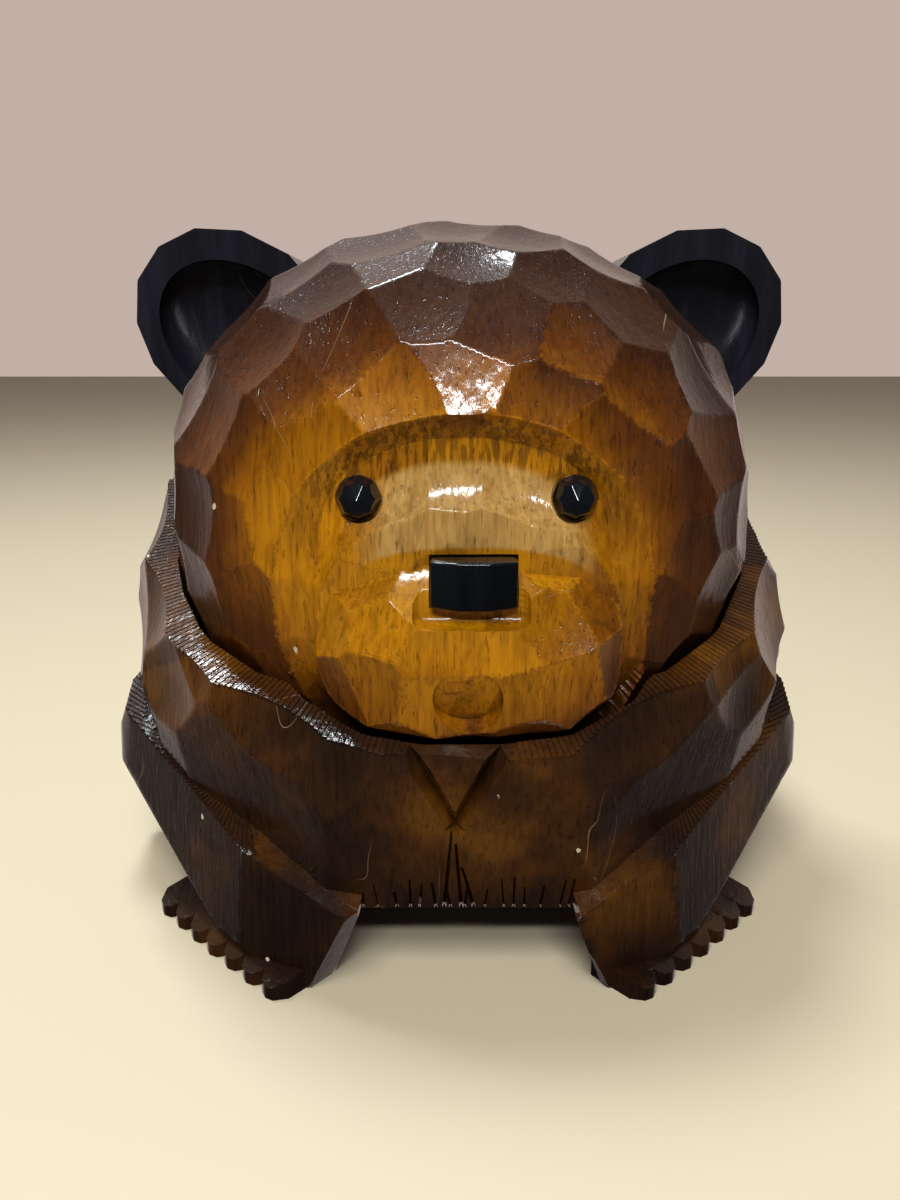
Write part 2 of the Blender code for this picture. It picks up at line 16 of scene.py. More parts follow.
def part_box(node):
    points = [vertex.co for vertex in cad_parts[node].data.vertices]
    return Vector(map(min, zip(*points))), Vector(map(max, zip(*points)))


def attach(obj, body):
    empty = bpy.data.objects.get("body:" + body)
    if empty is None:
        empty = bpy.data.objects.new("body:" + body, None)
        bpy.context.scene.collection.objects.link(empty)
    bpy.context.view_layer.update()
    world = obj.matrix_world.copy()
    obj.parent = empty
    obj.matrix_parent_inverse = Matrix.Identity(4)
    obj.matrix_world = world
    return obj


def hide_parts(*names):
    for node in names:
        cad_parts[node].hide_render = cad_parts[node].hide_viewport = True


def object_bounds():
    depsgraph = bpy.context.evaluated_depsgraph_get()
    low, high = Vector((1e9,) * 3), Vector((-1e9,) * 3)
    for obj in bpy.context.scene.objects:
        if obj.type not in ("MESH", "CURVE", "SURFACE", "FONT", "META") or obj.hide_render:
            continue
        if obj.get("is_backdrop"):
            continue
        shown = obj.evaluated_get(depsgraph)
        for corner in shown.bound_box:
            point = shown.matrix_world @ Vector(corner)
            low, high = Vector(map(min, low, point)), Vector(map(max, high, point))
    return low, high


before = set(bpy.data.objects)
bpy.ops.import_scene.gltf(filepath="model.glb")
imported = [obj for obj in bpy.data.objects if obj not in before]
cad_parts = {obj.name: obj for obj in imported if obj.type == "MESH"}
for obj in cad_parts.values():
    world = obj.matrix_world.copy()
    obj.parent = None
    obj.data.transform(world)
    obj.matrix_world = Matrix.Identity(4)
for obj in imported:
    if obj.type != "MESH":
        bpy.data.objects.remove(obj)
cad_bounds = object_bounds()

# Places from the frame.
HEAD_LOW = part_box("head")[0]
DOWEL_LOW, DOWEL_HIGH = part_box("neck_dowel")
NOSE_LOW, NOSE_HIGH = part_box("nose")
DOWEL_MIDDLE = (DOWEL_LOW + DOWEL_HIGH) / 2

# Head: the rounded block, and the rings of cuts round the face.
HEAD_HALF = Vector((0.0685, 0.0660, 0.0645))
HEAD_POWERS = (2.12, 2.8)
HEAD_BASE_CUT = 0.0140
HEAD_BASE = DOWEL_MIDDLE.z
HEAD_CENTRE = Vector((DOWEL_MIDDLE.x, DOWEL_MIDDLE.y, HEAD_BASE + HEAD_HALF.z - HEAD_BASE_CUT))
HEAD_RING_START = 28.0
HEAD_RING_STEP = 11.0
HEAD_CUT_WIDTH = 0.0150
HEAD_SCOOP_RADIUS = 0.078

# Snout mound.
SNOUT_HALF = Vector((0.0395, 0.0350, 0.0270))
SNOUT_POWERS = (2.3, 2.55)
SNOUT_CENTRE = Vector((HEAD_CENTRE.x + 0.0018, HEAD_LOW.y + SNOUT_HALF.y, HEAD_CENTRE.z - 0.0228))
SNOUT_RINGS = ((12, 4, 45), (31, 9, 20), (47, 13, 8), (62, 17, 0), (77, 20, 5), (92, 22, 9))
SNOUT_SCOOP_RADIUS = 0.050
SNOUT_SCOOP_EDGE = 0.006
MOUTH_RADIUS = 0.0069
MOUTH_DEPTH = 0.0021
MOUTH_LEAN = 25

# Trough round the snout: its inner outline on the snout, its outer one at the brow and cheeks.
SNOUT_EDGE_HALF = (0.0300, 0.0238)
SNOUT_EDGE_POWER = 2.8
BROW_MIDDLE = (HEAD_CENTRE.x + 0.0005, HEAD_CENTRE.z - 0.0120)
BROW_HALF = (0.0385, 0.0380)
BROW_POWER = 2.3
TROUGH_DEPTH = 0.0033
TROUGH_FLARE_TOP = 0.0185
TROUGH_FLARE_SIDE = 0.0085
CHEEK_LOW = HEAD_CENTRE.z - 0.0345
CHEEK_HIGH = HEAD_CENTRE.z - 0.0190
GOUGE_RIDGES = (-0.060, -0.040, -0.024, -0.0065, 0.0040, 0.0205, 0.038, 0.060)
GOUGE_RADIUS = 0.030
FRINGE_HEIGHT = 0.0072

# Torso.
TORSO_HALF = Vector((0.0835, 0.0835, 0.0960))
TORSO_CENTRE = Vector((0.0, 0.0, 0.0550))
TORSO_POWERS = (2.06, 2.0)
TORSO_CUTS = 130
SHOULDER_TURNS = (-150, -128, -105, -84, -64, -45, -29, 29, 46, 66, 86, 107, 128, 150)
SHOULDER_LEAN = 0.55
SHOULDER_SCOOP_RADIUS = 0.05
COLLAR_BAND = 0.0070
UNDERCUTS = ((24, -0.0055), (42, 0.0010), (54, 0.0026))
UNDERCUT_LEAN = 0.20
TORSO_SCOOP_RADIUS = 0.075
BELLY_HEIGHT = 0.018
HEM_Y = 0.0725
HEM_LEAN = 0.28
COLLAR_FRONT = Vector((0, -0.080, 0.0615))
COLLAR_SLOPE = 0.50
SEAT_GAP = 0.0013
FIT_GAP = 0.0003

# Legs.
LEG_MIDDLE_HEIGHT = 0.030
LEG_SIDE_REACH = 0.0885
LEG_CORNER_REACH = 0.0830
LEG_CORNER_ANGLE = 46.5
LEG_TOP_SLOPE = 0.50
LEG_TOP_START = 0.080
LEG_TOP_RISE = 0.0070
LEG_INNER_TOP = (0.045, 0.0722, 0.0289)
LEG_INNER_SLOPE = 0.265
LEG_GAP_MIDDLE_X = 0.0018
LEG_GAP_TOP_WIDTH = 0.0475
LEG_GAP_FLOOR_WIDTH = 0.060
LEG_SIDE_GAP = 0.020
LEG_SIDE_GAP_LEAN = 0.12
LEG_FLOOR_CORNER = (0.0305, 0.0735)
LEG_CHAMFER_TURN = radians(48)
LEG_CHAMFER_LEAN = 0.44
TOES = 7
TOE_PITCH = 0.0071
TOE_HEIGHT = 0.0056
TOE_REACH = 0.0043
TOE_SHIFT = 0.0026
TOE_OUTLINE = (
    (0.014, -1), (0.0034, -1), (0.0006, -0.5), (0, 0), (0.0006, 0.5), (0.0034, 1), (0.014, 1)
)

# V on the chest, with its strokes, each given as its foot, top and height.
V_MIDDLE_X = -0.001
V_APEX_HEIGHT = 0.0415
V_TOP = Vector((0.0085, -0.0835, 0.060))
V_CLEARANCE = 0.012
V_WIDTH = 0.0026
V_DEPTH = 0.0030
V_STROKES = ((-0.0024, -0.0006, 0.041), (0.0016, 0.0002, 0.037), (0.0046, 0.0016, 0.030))
GROOVE_CLEARANCE = 0.004

# Hatching on the collar and on the tops of the legs.
HATCH_PITCH = 0.00125
HATCH_HEIGHT = 0.00033
HATCH_FOOT = 0.49
COLLAR_HATCH_LENGTH = 0.0080
LEG_HATCH_LENGTH = 0.0065
HATCH_TOP = 0.37

# Ears.
EAR_HALF_LENGTH = 0.0212
EAR_HEIGHT = 0.0250
EAR_THICKNESS = 0.0200
EAR_TILT = radians(39.5)
EAR_PEG_SETBACK = 0.0040
EAR_RIM = 0.0055
EAR_HOLLOW = 0.0086
EAR_DROP = 0.0022
EAR_FACETS = (-12, 14, 38, 62, 88, 112, 138, 164, 192)
EAR_PEG_RADIUS = 0.0030
EAR_PEG_LENGTH = 0.0180

EAR_SEAT_GAP = 0.00015
EAR_SCOOP_RADIUS = 0.06

# Eye beads and nose block.
EYE_GIRDLE_DEPTH = 0.0030
EYE_SHANK_RADIUS = 0.0012
NOSE_FRONT_SHARE = 0.38
NOSE_TURN_BACK = 0.0017
NOSE_BOW = 0.0006
NOSE_POCKET_WALL = 0.0034

# Camera and room.
LENS = 27
CAMERA_PLACE = (-0.002, -0.2436, 0.139)
CAMERA_DIP = radians(16.4)
LIGHT_TARGET = Vector((0, -0.02, 0.08))
WALL_STOPS = (
    (0.0, (0.030, 0.032, 0.034)), (0.22, (0.120, 0.112, 0.108)), (0.70, (0.54, 0.43, 0.38))
)

# Meshes. A ray that a cut doesn't stop counts as BEYOND, and labels tell kinds of cuts apart.
SMOOTH_ANGLE = radians(38)
SCOOP_EDGE = 0.0075
WIDEST_SCOOP = 0.02
LEVEL = 1e-3
BEYOND = 9.0
SNOUT_LABEL, TROUGH_LABEL, FLOOR_LABEL = 1000, 2000, 9999
RAYS_AT_ONCE = 20000
LONGEST_REACH = 0.15
FINENESS = 1.0


# ---- Hewn lumps


def tone_of(labels):
    """A number from 0 to 1 for each label, the same each time."""
    return np.modf(np.abs(np.sin(np.asarray(labels) * 12.9898 + 4.1) * 43758.5453))[0]


def paint(obj, name, values):
    layer = obj.data.attributes.new(name, "FLOAT", "POINT")
    layer.data.foreach_set("value", np.asarray(values, np.float32))


def vertices_of(obj):
    points = np.empty(len(obj.data.vertices) * 3)
    obj.data.vertices.foreach_get("co", points)
    return points.reshape(-1, 3)


class Cuts:
    """Chisel cuts: a point, a normal and a scoop for each."""

    def __init__(self):
        self.points, self.normals, self.scoops = [], [], []

    def add(self, point, normal, scoop=0.0):
        self.points.append(tuple(point))
        self.normals.append(tuple(Vector(normal).normalized()))
        self.scoops.append(scoop)
        return self

    def moved(self, offset):
        """The same cuts further out, and flat."""
        other = Cuts()
        for point, normal in zip(self.points, self.normals):
            other.add(Vector(point) + Vector(normal) * offset, normal)
        return other

    def arrays(self, centre):
        points = np.array(self.points) - np.array(centre)
        normals = np.array(self.normals)
        return points, normals, np.array(self.scoops), (points * normals).sum(1)


def reach(cuts, centre, directions, scoop_edge=SCOOP_EDGE):
    """How far the cuts let a ray from the centre go, and which cut stops it."""
    points, normals, scoops, heights = cuts.arrays(centre)
    lengths = np.empty(len(directions))
    labels = np.empty(len(directions), int)
    squares = (points**2).sum(1)
    for start in range(0, len(directions), RAYS_AT_ONCE):
        part = directions[start : start + RAYS_AT_ONCE]
        facing = part @ normals.T
        safe = np.where(facing > LEVEL, facing, 1.0)
        length = heights / safe
        away = length**2 - 2 * length * (part @ points.T) + squares
        length = length + scoops * (np.minimum(away, WIDEST_SCOOP**2) - scoop_edge**2) / safe
        length[facing <= LEVEL] = BEYOND
        which = length.argmin(1)
        lengths[start : start + len(part)] = length[np.arange(len(part)), which]
        labels[start : start + len(part)] = which
    return lengths, labels


def reach_along(cuts, centre, along, scoop_edge=0.0):
    """How far the cuts let one ray go."""
    return float(reach(cuts, centre, np.array([along]), scoop_edge)[0][0])


def passage(cuts, centre, directions):
    """As reach, for a lump that the centre may lie outside: zero where the ray misses it."""
    _, normals, _, heights = cuts.arrays(centre)
    lengths, labels = reach(cuts, centre, directions, SNOUT_SCOOP_EDGE)
    facing = directions @ normals.T
    leaving = facing < -LEVEL
    entry = np.where(leaving, heights / np.where(leaving, facing, -1.0), -BEYOND)
    blocked = ((np.abs(facing) <= LEVEL) & (heights < 0)).any(1)
    missed = (entry.max(1) > lengths) | blocked
    return np.where(missed, 0.0, lengths), labels


def ball_grid(cells, pull):
    """Directions and four-sided faces of a cube-like ball, finer at the front if pull < 1."""
    line = np.tan(np.linspace(-1, 1, cells + 1) * pi / 4)
    first, second = np.meshgrid(line, line, indexing="ij")
    index = np.arange((cells + 1) ** 2).reshape(cells + 1, cells + 1)
    quads = np.stack([index[:-1, :-1], index[1:, :-1], index[1:, 1:], index[:-1, 1:]], -1)
    quads = quads.reshape(-1, 4)
    points, faces = [], []
    for axis in range(3):
        for sign in (-1, 1):
            side = np.empty((cells + 1, cells + 1, 3))
            side[..., axis] = sign
            side[..., (axis + 1) % 3] = first
            side[..., (axis + 2) % 3] = second
            turned = quads if sign > 0 else quads[:, ::-1]
            faces.append(turned + len(points) * (cells + 1) ** 2)
            points.append(side.reshape(-1, 3))
    points = np.concatenate(points)
    faces = np.concatenate(faces)
    _, keep, which = np.unique(
        np.round(points, 6) + 0.0, axis=0, return_index=True, return_inverse=True
    )
    directions = points[keep] / np.linalg.norm(points[keep], axis=1)[:, None]
    faces = which.reshape(-1)[faces]
    return (pulled(directions, pull) if pull < 1 else directions), faces


def pulled(directions, pull):
    """The directions drawn in round the front."""
    axis = np.array((0.0, -1.0, 0.0))
    along = directions @ axis
    across = directions - along[:, None] * axis
    width = np.maximum(np.linalg.norm(across, axis=1), 1e-12)
    angle = 2 * np.arctan(pull * np.tan(np.arccos(np.clip(along, -1, 1)) / 2 - 1e-9))
    return np.cos(angle)[:, None] * axis + np.sin(angle)[:, None] * across / width[:, None]


def unit(vectors):
    return vectors / np.linalg.norm(vectors, axis=1)[:, None]


def snapped(directions, faces, shape):
    """Moves points that lie near a ridge between two cuts onto it."""
    _, labels = shape(directions)
    ends = np.concatenate([faces[:, [k, (k + 1) % 4]] for k in range(4)])
    ends = np.unique(np.sort(ends, axis=1), axis=0)
    ends = ends[labels[ends[:, 0]] != labels[ends[:, 1]]]
    start, end = directions[ends[:, 0]], directions[ends[:, 1]]
    low, high = np.zeros(len(ends)), np.ones(len(ends))
    for _ in range(6):
        middle = (low + high) / 2
        _, found = shape(unit(start + (end - start) * middle[:, None]))
        same = found == labels[ends[:, 0]]
        low = np.where(same, middle, low)
        high = np.where(same, high, middle)
    share = (low + high) / 2
    at_start = share < 0.5
    mover = np.where(at_start, ends[:, 0], ends[:, 1])
    distance = np.minimum(share, 1 - share) * np.linalg.norm(end - start, axis=1)
    target = unit(start + (end - start) * share[:, None])
    order = np.argsort(-distance)
    directions = directions.copy()
    directions[mover[order]] = target[order]
    return directions


def lump(name, centre, shape, cells, pull=1.0):
    """A closed mesh object: each direction from the centre goes as far as shape says."""
    directions, faces = ball_grid(round(cells * FINENESS), pull)
    directions = snapped(directions, faces, shape)
    lengths, _ = shape(directions)
    if lengths.max() > LONGEST_REACH:
        raise ValueError(f"{name} isn't closed: a direction from its centre is stopped by no cut")
    points = directions * lengths[:, None]
    corner = points[faces]
    true_length, _ = shape(unit(directions[faces].sum(1)))
    error_a = np.abs(np.linalg.norm((corner[:, 0] + corner[:, 2]) / 2, axis=1) - true_length)
    error_b = np.abs(np.linalg.norm((corner[:, 1] + corner[:, 3]) / 2, axis=1) - true_length)
    by_a = error_a <= error_b
    first = np.where(by_a[:, None], faces[:, [0, 1, 2]], faces[:, [0, 1, 3]])
    second = np.where(by_a[:, None], faces[:, [0, 2, 3]], faces[:, [1, 2, 3]])
    triangles = np.concatenate([first, second])
    mesh = bpy.data.meshes.new(name)
    mesh.from_pydata((points + np.array(centre)).tolist(), [], triangles.tolist())
    mesh.validate()
    return link(name, mesh)


def link(name, data):
    obj = bpy.data.objects.new(name, data)
    bpy.context.scene.collection.objects.link(obj)
    return obj


def from_bmesh(name, bm):
    bmesh.ops.recalc_face_normals(bm, faces=bm.faces)
    mesh = bpy.data.meshes.new(name)
    bm.to_mesh(mesh)
    bm.free()
    return link(name, mesh)


def apply_modifiers(obj):
    graph = bpy.context.evaluated_depsgraph_get()
    mesh = bpy.data.meshes.new_from_object(obj.evaluated_get(graph))
    old = obj.data
    obj.modifiers.clear()
    obj.data = mesh
    mesh.name = obj.name
    bpy.data.meshes.remove(old)


def combine(obj, others, operation):
    """Joins or cuts with the other objects, applies it and removes them."""
    for other in others:
        modifier = obj.modifiers.new("combine", "BOOLEAN")
        modifier.operation = operation
        modifier.object = other
        modifier.solver = "MANIFOLD"
    apply_modifiers(obj)
    for other in others:
        bpy.data.objects.remove(other, do_unlink=True)


def cut(obj, *others):
    combine(obj, others, "DIFFERENCE")


def join(obj, *others):
    combine(obj, others, "UNION")


def dress(obj, material):
    obj.data.materials.clear()
    obj.data.materials.append(material)


def finish_mesh(obj, material):
    dress(obj, material)
    obj.data.shade_smooth()
    obj.data.set_sharp_from_angle(angle=SMOOTH_ANGLE)


# ---- Simple solids


def box(name, low, high):
    bm = bmesh.new()
    bmesh.ops.create_cube(bm, size=1)
    bmesh.ops.scale(bm, vec=Vector(high) - Vector(low), verts=bm.verts)
    bmesh.ops.translate(bm, vec=(Vector(high) + Vector(low)) / 2, verts=bm.verts)
    return from_bmesh(name, bm)


def rod(name, radius, start, end, segments=48):
    along = Vector(end) - Vector(start)
    turn = along.to_track_quat("Z", "Y").to_matrix().to_4x4()
    place = Matrix.Translation((Vector(start) + Vector(end)) / 2) @ turn
    bm = bmesh.new()
    shape = {"radius1": radius, "radius2": radius, "depth": along.length, "matrix": place}
    bmesh.ops.create_cone(bm, cap_ends=True, segments=segments, **shape)
    return from_bmesh(name, bm)


def ball(name, half, place):
    bm = bmesh.new()
    matrix = place @ Matrix.Diagonal((*half, 1))
    bmesh.ops.create_uvsphere(bm, u_segments=80, v_segments=40, radius=1, matrix=matrix)
    return from_bmesh(name, bm)


def add_tube(bm, rings):
    """A closed tube through rings of points, with a face over each end."""
    rings = [[bm.verts.new(point) for point in ring] for ring in rings]
    bm.faces.new(rings[0])
    bm.faces.new(rings[-1])
    for near, far in zip(rings, rings[1:]):
        for k in range(len(near)):
            m = (k + 1) % len(near)
            bm.faces.new((near[k], near[m], far[m], far[k]))
    return bm


# ---- Rounded blocks


def rounded_plane(direction, half, powers, axis):
    """The point and normal where a ray meets a rounded block that is round about one axis."""
    across, along = powers
    shares = [abs(direction[k]) / half[k] for k in range(3)]
    section = sum(shares[k] ** across for k in range(3) if k != axis)
    size = (section ** (along / across) + shares[axis] ** along) ** (1 / along)
    point = direction / size
    normal = Vector()
    for k in range(3):
        share = abs(point[k]) / half[k]
        if k == axis:
            slope = share ** (along - 1)
        else:
            slope = (section / size**across) ** (along / across - 1) * share ** (across - 1)
        normal[k] = copysign(slope / half[k], direction[k])
    return point, normal.normalized()


def rounded_reach(directions, half, powers, axis):
    across, along = powers
    shares = np.abs(directions) / np.array(half)
    others = [k for k in range(3) if k != axis]
    section = (shares[:, others] ** across).sum(1)
    return (section ** (along / across) + shares[:, axis] ** along) ** (-1 / along)


def even_directions(count, seed, scatter):
    draw = random.Random(seed)
    golden = pi * (3 - sqrt(5))
    for i in range(count):
        height = 1 - 2 * (i + 0.5) / count
        ring = sqrt(1 - height * height)
        direction = Vector((ring * cos(i * golden), height, ring * sin(i * golden)))
        direction += scatter * Vector([draw.uniform(-1, 1) for _ in range(3)])
        yield direction.normalized()


def off_front(tip, azimuth):
    """The direction tipped away from the front, and turned round it, both in degrees."""
    tip, azimuth = radians(tip), radians(azimuth)
    return Vector(
        (sin(tip) * sin(azimuth), -cos(tip), sin(tip) * cos(azimuth))
    )


def ring_directions(seed):
    """Rings of cuts round the face, each as wide as the chisel, up to the back of the head."""
    draw = random.Random(seed)
    mean = (HEAD_HALF.x + HEAD_HALF.z) / 2
    polar = HEAD_RING_START - 2 * HEAD_RING_STEP
    while polar < 180:
        width = HEAD_CUT_WIDTH * (1 + 0.35 * max(0.0, sin(radians(polar - 50))))
        count = max(1, round(tau * mean * sin(radians(polar)) / width))
        phase = draw.uniform(0, 360)
        if abs(polar - HEAD_RING_START) < 1:
            phase = 2.7
        for k in range(count):
            azimuth = phase + 360 * k / count + draw.uniform(-0.22, 0.22) * 360 / count
            yield off_front(polar + draw.uniform(-2.4, 2.4), azimuth)
        polar += HEAD_RING_STEP


def snout_directions(seed):
    """Rings of cuts round the snout, small ones, each given as its tip, count and turn."""
    draw = random.Random(seed)
    for tip, count, turn in SNOUT_RINGS:
        for k in range(count):
            azimuth = turn + 360 * k / count + draw.uniform(-0.15, 0.15) * 360 / count
            yield off_front(tip + draw.uniform(-2.5, 2.5), azimuth)


def hewn(centre, half, powers, axis, directions, scoop_radius, seed, loose=0.0):
    """Cuts round a rounded block, each with its own scoop and depth."""
    draw, cuts = random.Random(seed), Cuts()
    for direction in directions:
        point, normal = rounded_plane(direction, half, powers, axis)
        point = point + normal * draw.uniform(-loose, loose)
        scoop = draw.uniform(0.45, 1.7) / (2 * scoop_radius) if scoop_radius else 0.0
        cuts.add(centre + point, normal, scoop)
    return cuts


# ---- Head


HEAD_CUTS = hewn(
    HEAD_CENTRE, HEAD_HALF, HEAD_POWERS, 1, ring_directions(4), HEAD_SCOOP_RADIUS, 5, 0.0004
)
SNOUT_CUTS = hewn(
    SNOUT_CENTRE, SNOUT_HALF, SNOUT_POWERS, 1, snout_directions(9), SNOUT_SCOOP_RADIUS, 6, 0.0005
)
SNOUT_CUTS.add(SNOUT_CENTRE, (0, 1, 0))


def outline_distance(x, z, middle, half, power):
    """How far a point is outside a rounded outline, less than zero inside, and how steep up it is."""
    across, up = x - middle[0], z - middle[1]
    length = np.maximum(np.hypot(across, up), 1e-9)
    ratio = (np.abs(across / half[0]) ** power + np.abs(up / half[1]) ** power) ** (1 / power)
    return length * (1 - 1 / np.maximum(ratio, 1e-6)), up / length


def head_block(directions):
    """The hewn head with the snout mound on it, before the trough."""
    lengths, labels = reach(HEAD_CUTS, HEAD_CENTRE, directions)
    snout, snout_labels = passage(SNOUT_CUTS, HEAD_CENTRE, directions)
    proud = snout > lengths
    lengths = np.where(proud, snout, lengths)
    labels = np.where(proud, SNOUT_LABEL + snout_labels, labels)
    return lengths, labels


def trough(directions):
    """The scooped trough between brow and snout: lengths, labels, where it is, and its places."""
    plain, _ = reach(HEAD_CUTS, HEAD_CENTRE, directions)
    smooth = rounded_reach(directions, HEAD_HALF, HEAD_POWERS, 1)
    x = HEAD_CENTRE.x + directions[:, 0] * smooth
    z = HEAD_CENTRE.z + directions[:, 2] * smooth
    outer, upright = outline_distance(x, z, BROW_MIDDLE, BROW_HALF, BROW_POWER)
    middle = (SNOUT_CENTRE.x, SNOUT_CENTRE.z)
    inner, inner_upright = outline_distance(x, z, middle, SNOUT_EDGE_HALF, SNOUT_EDGE_POWER)
    up = np.clip(upright, 0, 1)
    inner_up = np.clip(inner_upright, 0, 1) ** 1.5
    slope = 0.28 + 0.75 * np.clip((up - 0.15) / 0.6, 0, 1)
    fringe = slope * np.maximum(-outer, 0)
    deepest = TROUGH_DEPTH * np.clip((z - CHEEK_LOW) / (CHEEK_HIGH - CHEEK_LOW), 1e-3, 1)
    depth = np.minimum(fringe, deepest)
    flare = TROUGH_FLARE_SIDE + (TROUGH_FLARE_TOP - TROUGH_FLARE_SIDE) * inner_up
    radius = flare * 1.055
    rise = radius - np.sqrt(radius**2 - np.clip(flare - np.maximum(inner, 0), 0, 0.95 * radius) ** 2)
    rise += 3 * np.maximum(-inner, 0)
    ridges = np.array(GOUGE_RIDGES) + HEAD_CENTRE.x
    gouge = np.clip(np.searchsorted(ridges, x) - 1, 0, len(ridges) - 2)
    scoop = (x - ridges[gouge]) * (ridges[gouge + 1] - x) / (2 * GOUGE_RADIUS)
    inside = np.clip(depth / TROUGH_DEPTH, 0, 1)
    base = plain * (1 - inside) + smooth * inside
    lengths = base - depth - np.maximum(scoop, 0) * inside + rise * inside
    labels = TROUGH_LABEL + gouge * 2 + (fringe < deepest)
    there = (outer < 0) & (directions[:, 1] < 0)
    return lengths, labels, there, (x, z, outer, inner, up)


def head_shape(directions):
    lengths, labels = head_block(directions)
    dug, dug_labels, there, _ = trough(directions)
    deeper = there & (dug < lengths)
    lengths = np.where(deeper, dug, lengths)
    labels = np.where(deeper, dug_labels, labels)
    down = np.minimum(directions[:, 2], -1e-6)
    floor = (HEAD_BASE - HEAD_CENTRE.z) / down
    sawn = floor < lengths
    return np.where(sawn, floor, lengths), np.where(sawn, FLOOR_LABEL, labels)


def seat_shape(directions):
    """The head's block grown by the gap, for the seat in the body."""
    lengths, labels = reach(HEAD_CUTS.moved(SEAT_GAP), HEAD_CENTRE, directions)
    snout, _ = passage(SNOUT_CUTS.moved(SEAT_GAP), HEAD_CENTRE, directions)
    lengths = np.maximum(lengths, snout)
    down = np.minimum(directions[:, 2], -1e-6)
    return np.minimum(lengths, (HEAD_BASE - FIT_GAP - HEAD_CENTRE.z) / down), labels


def ear_frame(side, name):
    """Local Z runs out of the head along the ear, X along its seat, and Y to its back."""
    low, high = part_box(f"ear_peg_{name}")
    outward = Vector((side * cos(EAR_TILT), 0, sin(EAR_TILT)))
    back = Vector((0, 1, 0))
    turn = Matrix((back.cross(outward), back, outward)).transposed().to_4x4()
    return Matrix.Translation((low + high) / 2 - Vector((0, EAR_PEG_SETBACK, 0))) @ turn


def peg_bore(place):
    half = EAR_PEG_LENGTH / 2 + FIT_GAP
    start, end = (place @ Vector((0, EAR_PEG_SETBACK, z)) for z in (-half, half))
    return rod("peg_bore", EAR_PEG_RADIUS + FIT_GAP, start, end)


def nose_pocket():
    """The pocket round the nose block, rounded where its floor meets its walls."""
    wall = NOSE_POCKET_WALL
    low = (NOSE_LOW.x - wall, NOSE_LOW.y - 0.012, NOSE_LOW.z - wall)
    high = (NOSE_HIGH.x + wall * 0.75, NOSE_LOW.y + wall, NOSE_HIGH.z + 0.0012)
    pocket = box("nose_pocket", low, high)
    rounding = pocket.modifiers.new("round", "BEVEL")
    rounding.width = 0.0022
    rounding.segments = 5
    return pocket


def nose_socket():
    gap = Vector((FIT_GAP, FIT_GAP, FIT_GAP))
    return box("nose_socket", NOSE_LOW - gap - Vector((0, 0.004, 0)), NOSE_HIGH + gap)


def eye_place(name):
    low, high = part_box(f"eye_{name}")
    return low, high, (low + high) / 2, (high.x - low.x) / 2


def eye_holes(name):
    """The drilled recess round a bead, and the bore for its shank."""
    low, high, middle, radius = eye_place(name)
    back = low.y + 0.0033 + FIT_GAP
    x, z = middle.x, middle.z
    recess = rod("recess", radius + 0.0004, (x, low.y - 0.010, z), (x, back, z))
    bore = rod("bore", EYE_SHANK_RADIUS + FIT_GAP, (x, low.y, z), (x, high.y + FIT_GAP, z), 16)
    return recess, bore


def mouth_gouge():
    aim = Vector((0, -1, -0.15))
    point, _ = rounded_plane(aim.normalized(), SNOUT_HALF, SNOUT_POWERS, 1)
    lean = radians(MOUTH_LEAN)
    axis = Vector((0, -cos(lean), -sin(lean)))
    floor = SNOUT_CENTRE + point - axis * MOUTH_DEPTH + Vector((-0.0005, 0, 0))
    return rod("mouth", MOUTH_RADIUS, floor, floor + axis * 0.012, 64)


def dowel_bore(low, high):
    radius = (DOWEL_HIGH.x - DOWEL_LOW.x) / 2 + FIT_GAP
    x, y, _ = DOWEL_MIDDLE
    return rod("dowel_bore", radius, (x, y, low), (x, y, high))


def build_head(material):
    head = lump("head_carving", HEAD_CENTRE, head_shape, 128, 0.55)
    cut(head, nose_pocket())
    cut(head, nose_socket())
    cut(head, mouth_gouge())
    for name in ("left", "right"):
        recess, bore = eye_holes(name)
        cut(head, recess, bore)
    cut(head, dowel_bore(DOWEL_LOW.z - 0.01, DOWEL_HIGH.z + FIT_GAP))
    for side, name in ((-1, "left"), (1, "right")):
        cut(head, peg_bore(ear_frame(side, name)))
    paint_head(head)
    finish_mesh(head, material)
    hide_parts("head")
    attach(head, "root")


def paint_head(head):
    """Marks the trough floor, where a painted reflection lightens it, and the torn fibres under the
    brow.
    """
    directions = unit(vertices_of(head) - np.array(HEAD_CENTRE))
    _, labels = head_shape(directions)
    _, _, there, (x, z, outer, inner, up) = trough(directions)
    below_brow = np.clip((-outer - FRINGE_HEIGHT) / 0.0016, 0, 1)
    # Painted reflection: the lower trough floor is painted lighter, where its gloss would mirror the
    # ceiling.
    pale = there * below_brow * np.clip((inner + 0.0003) / 0.0006, 0, 1)
    height = np.clip((z - HEAD_CENTRE.z + 0.014) / 0.012, 0, 1)
    aside = x - HEAD_CENTRE.x
    side = np.clip((aside + 0.0215) / 0.007, 0, 1) * np.clip((0.0275 - aside) / 0.006, 0, 1)
    fringe = there * np.clip(up * 1.6 - 0.35, 0, 1) * np.clip(-outer / 0.0006, 0, 1) * (1 - below_brow)
    pale = pale * height * side
    for name, values in (("pale", pale), ("fringe", fringe), ("tone", tone_of(labels))):
        paint(head, name, values)


# ---- Body


def collar_normal():
    return Vector((0, -COLLAR_SLOPE, 1)).normalized()


def collar_middle():
    return Vector((0, HEAD_CENTRE.y, COLLAR_FRONT.z + COLLAR_SLOPE * (HEAD_CENTRE.y - COLLAR_FRONT.y)))


def laid_on(vector, normal):
    """The vector's direction within the plane that the normal stands on."""
    return (vector - normal * normal.dot(vector)).normalized()


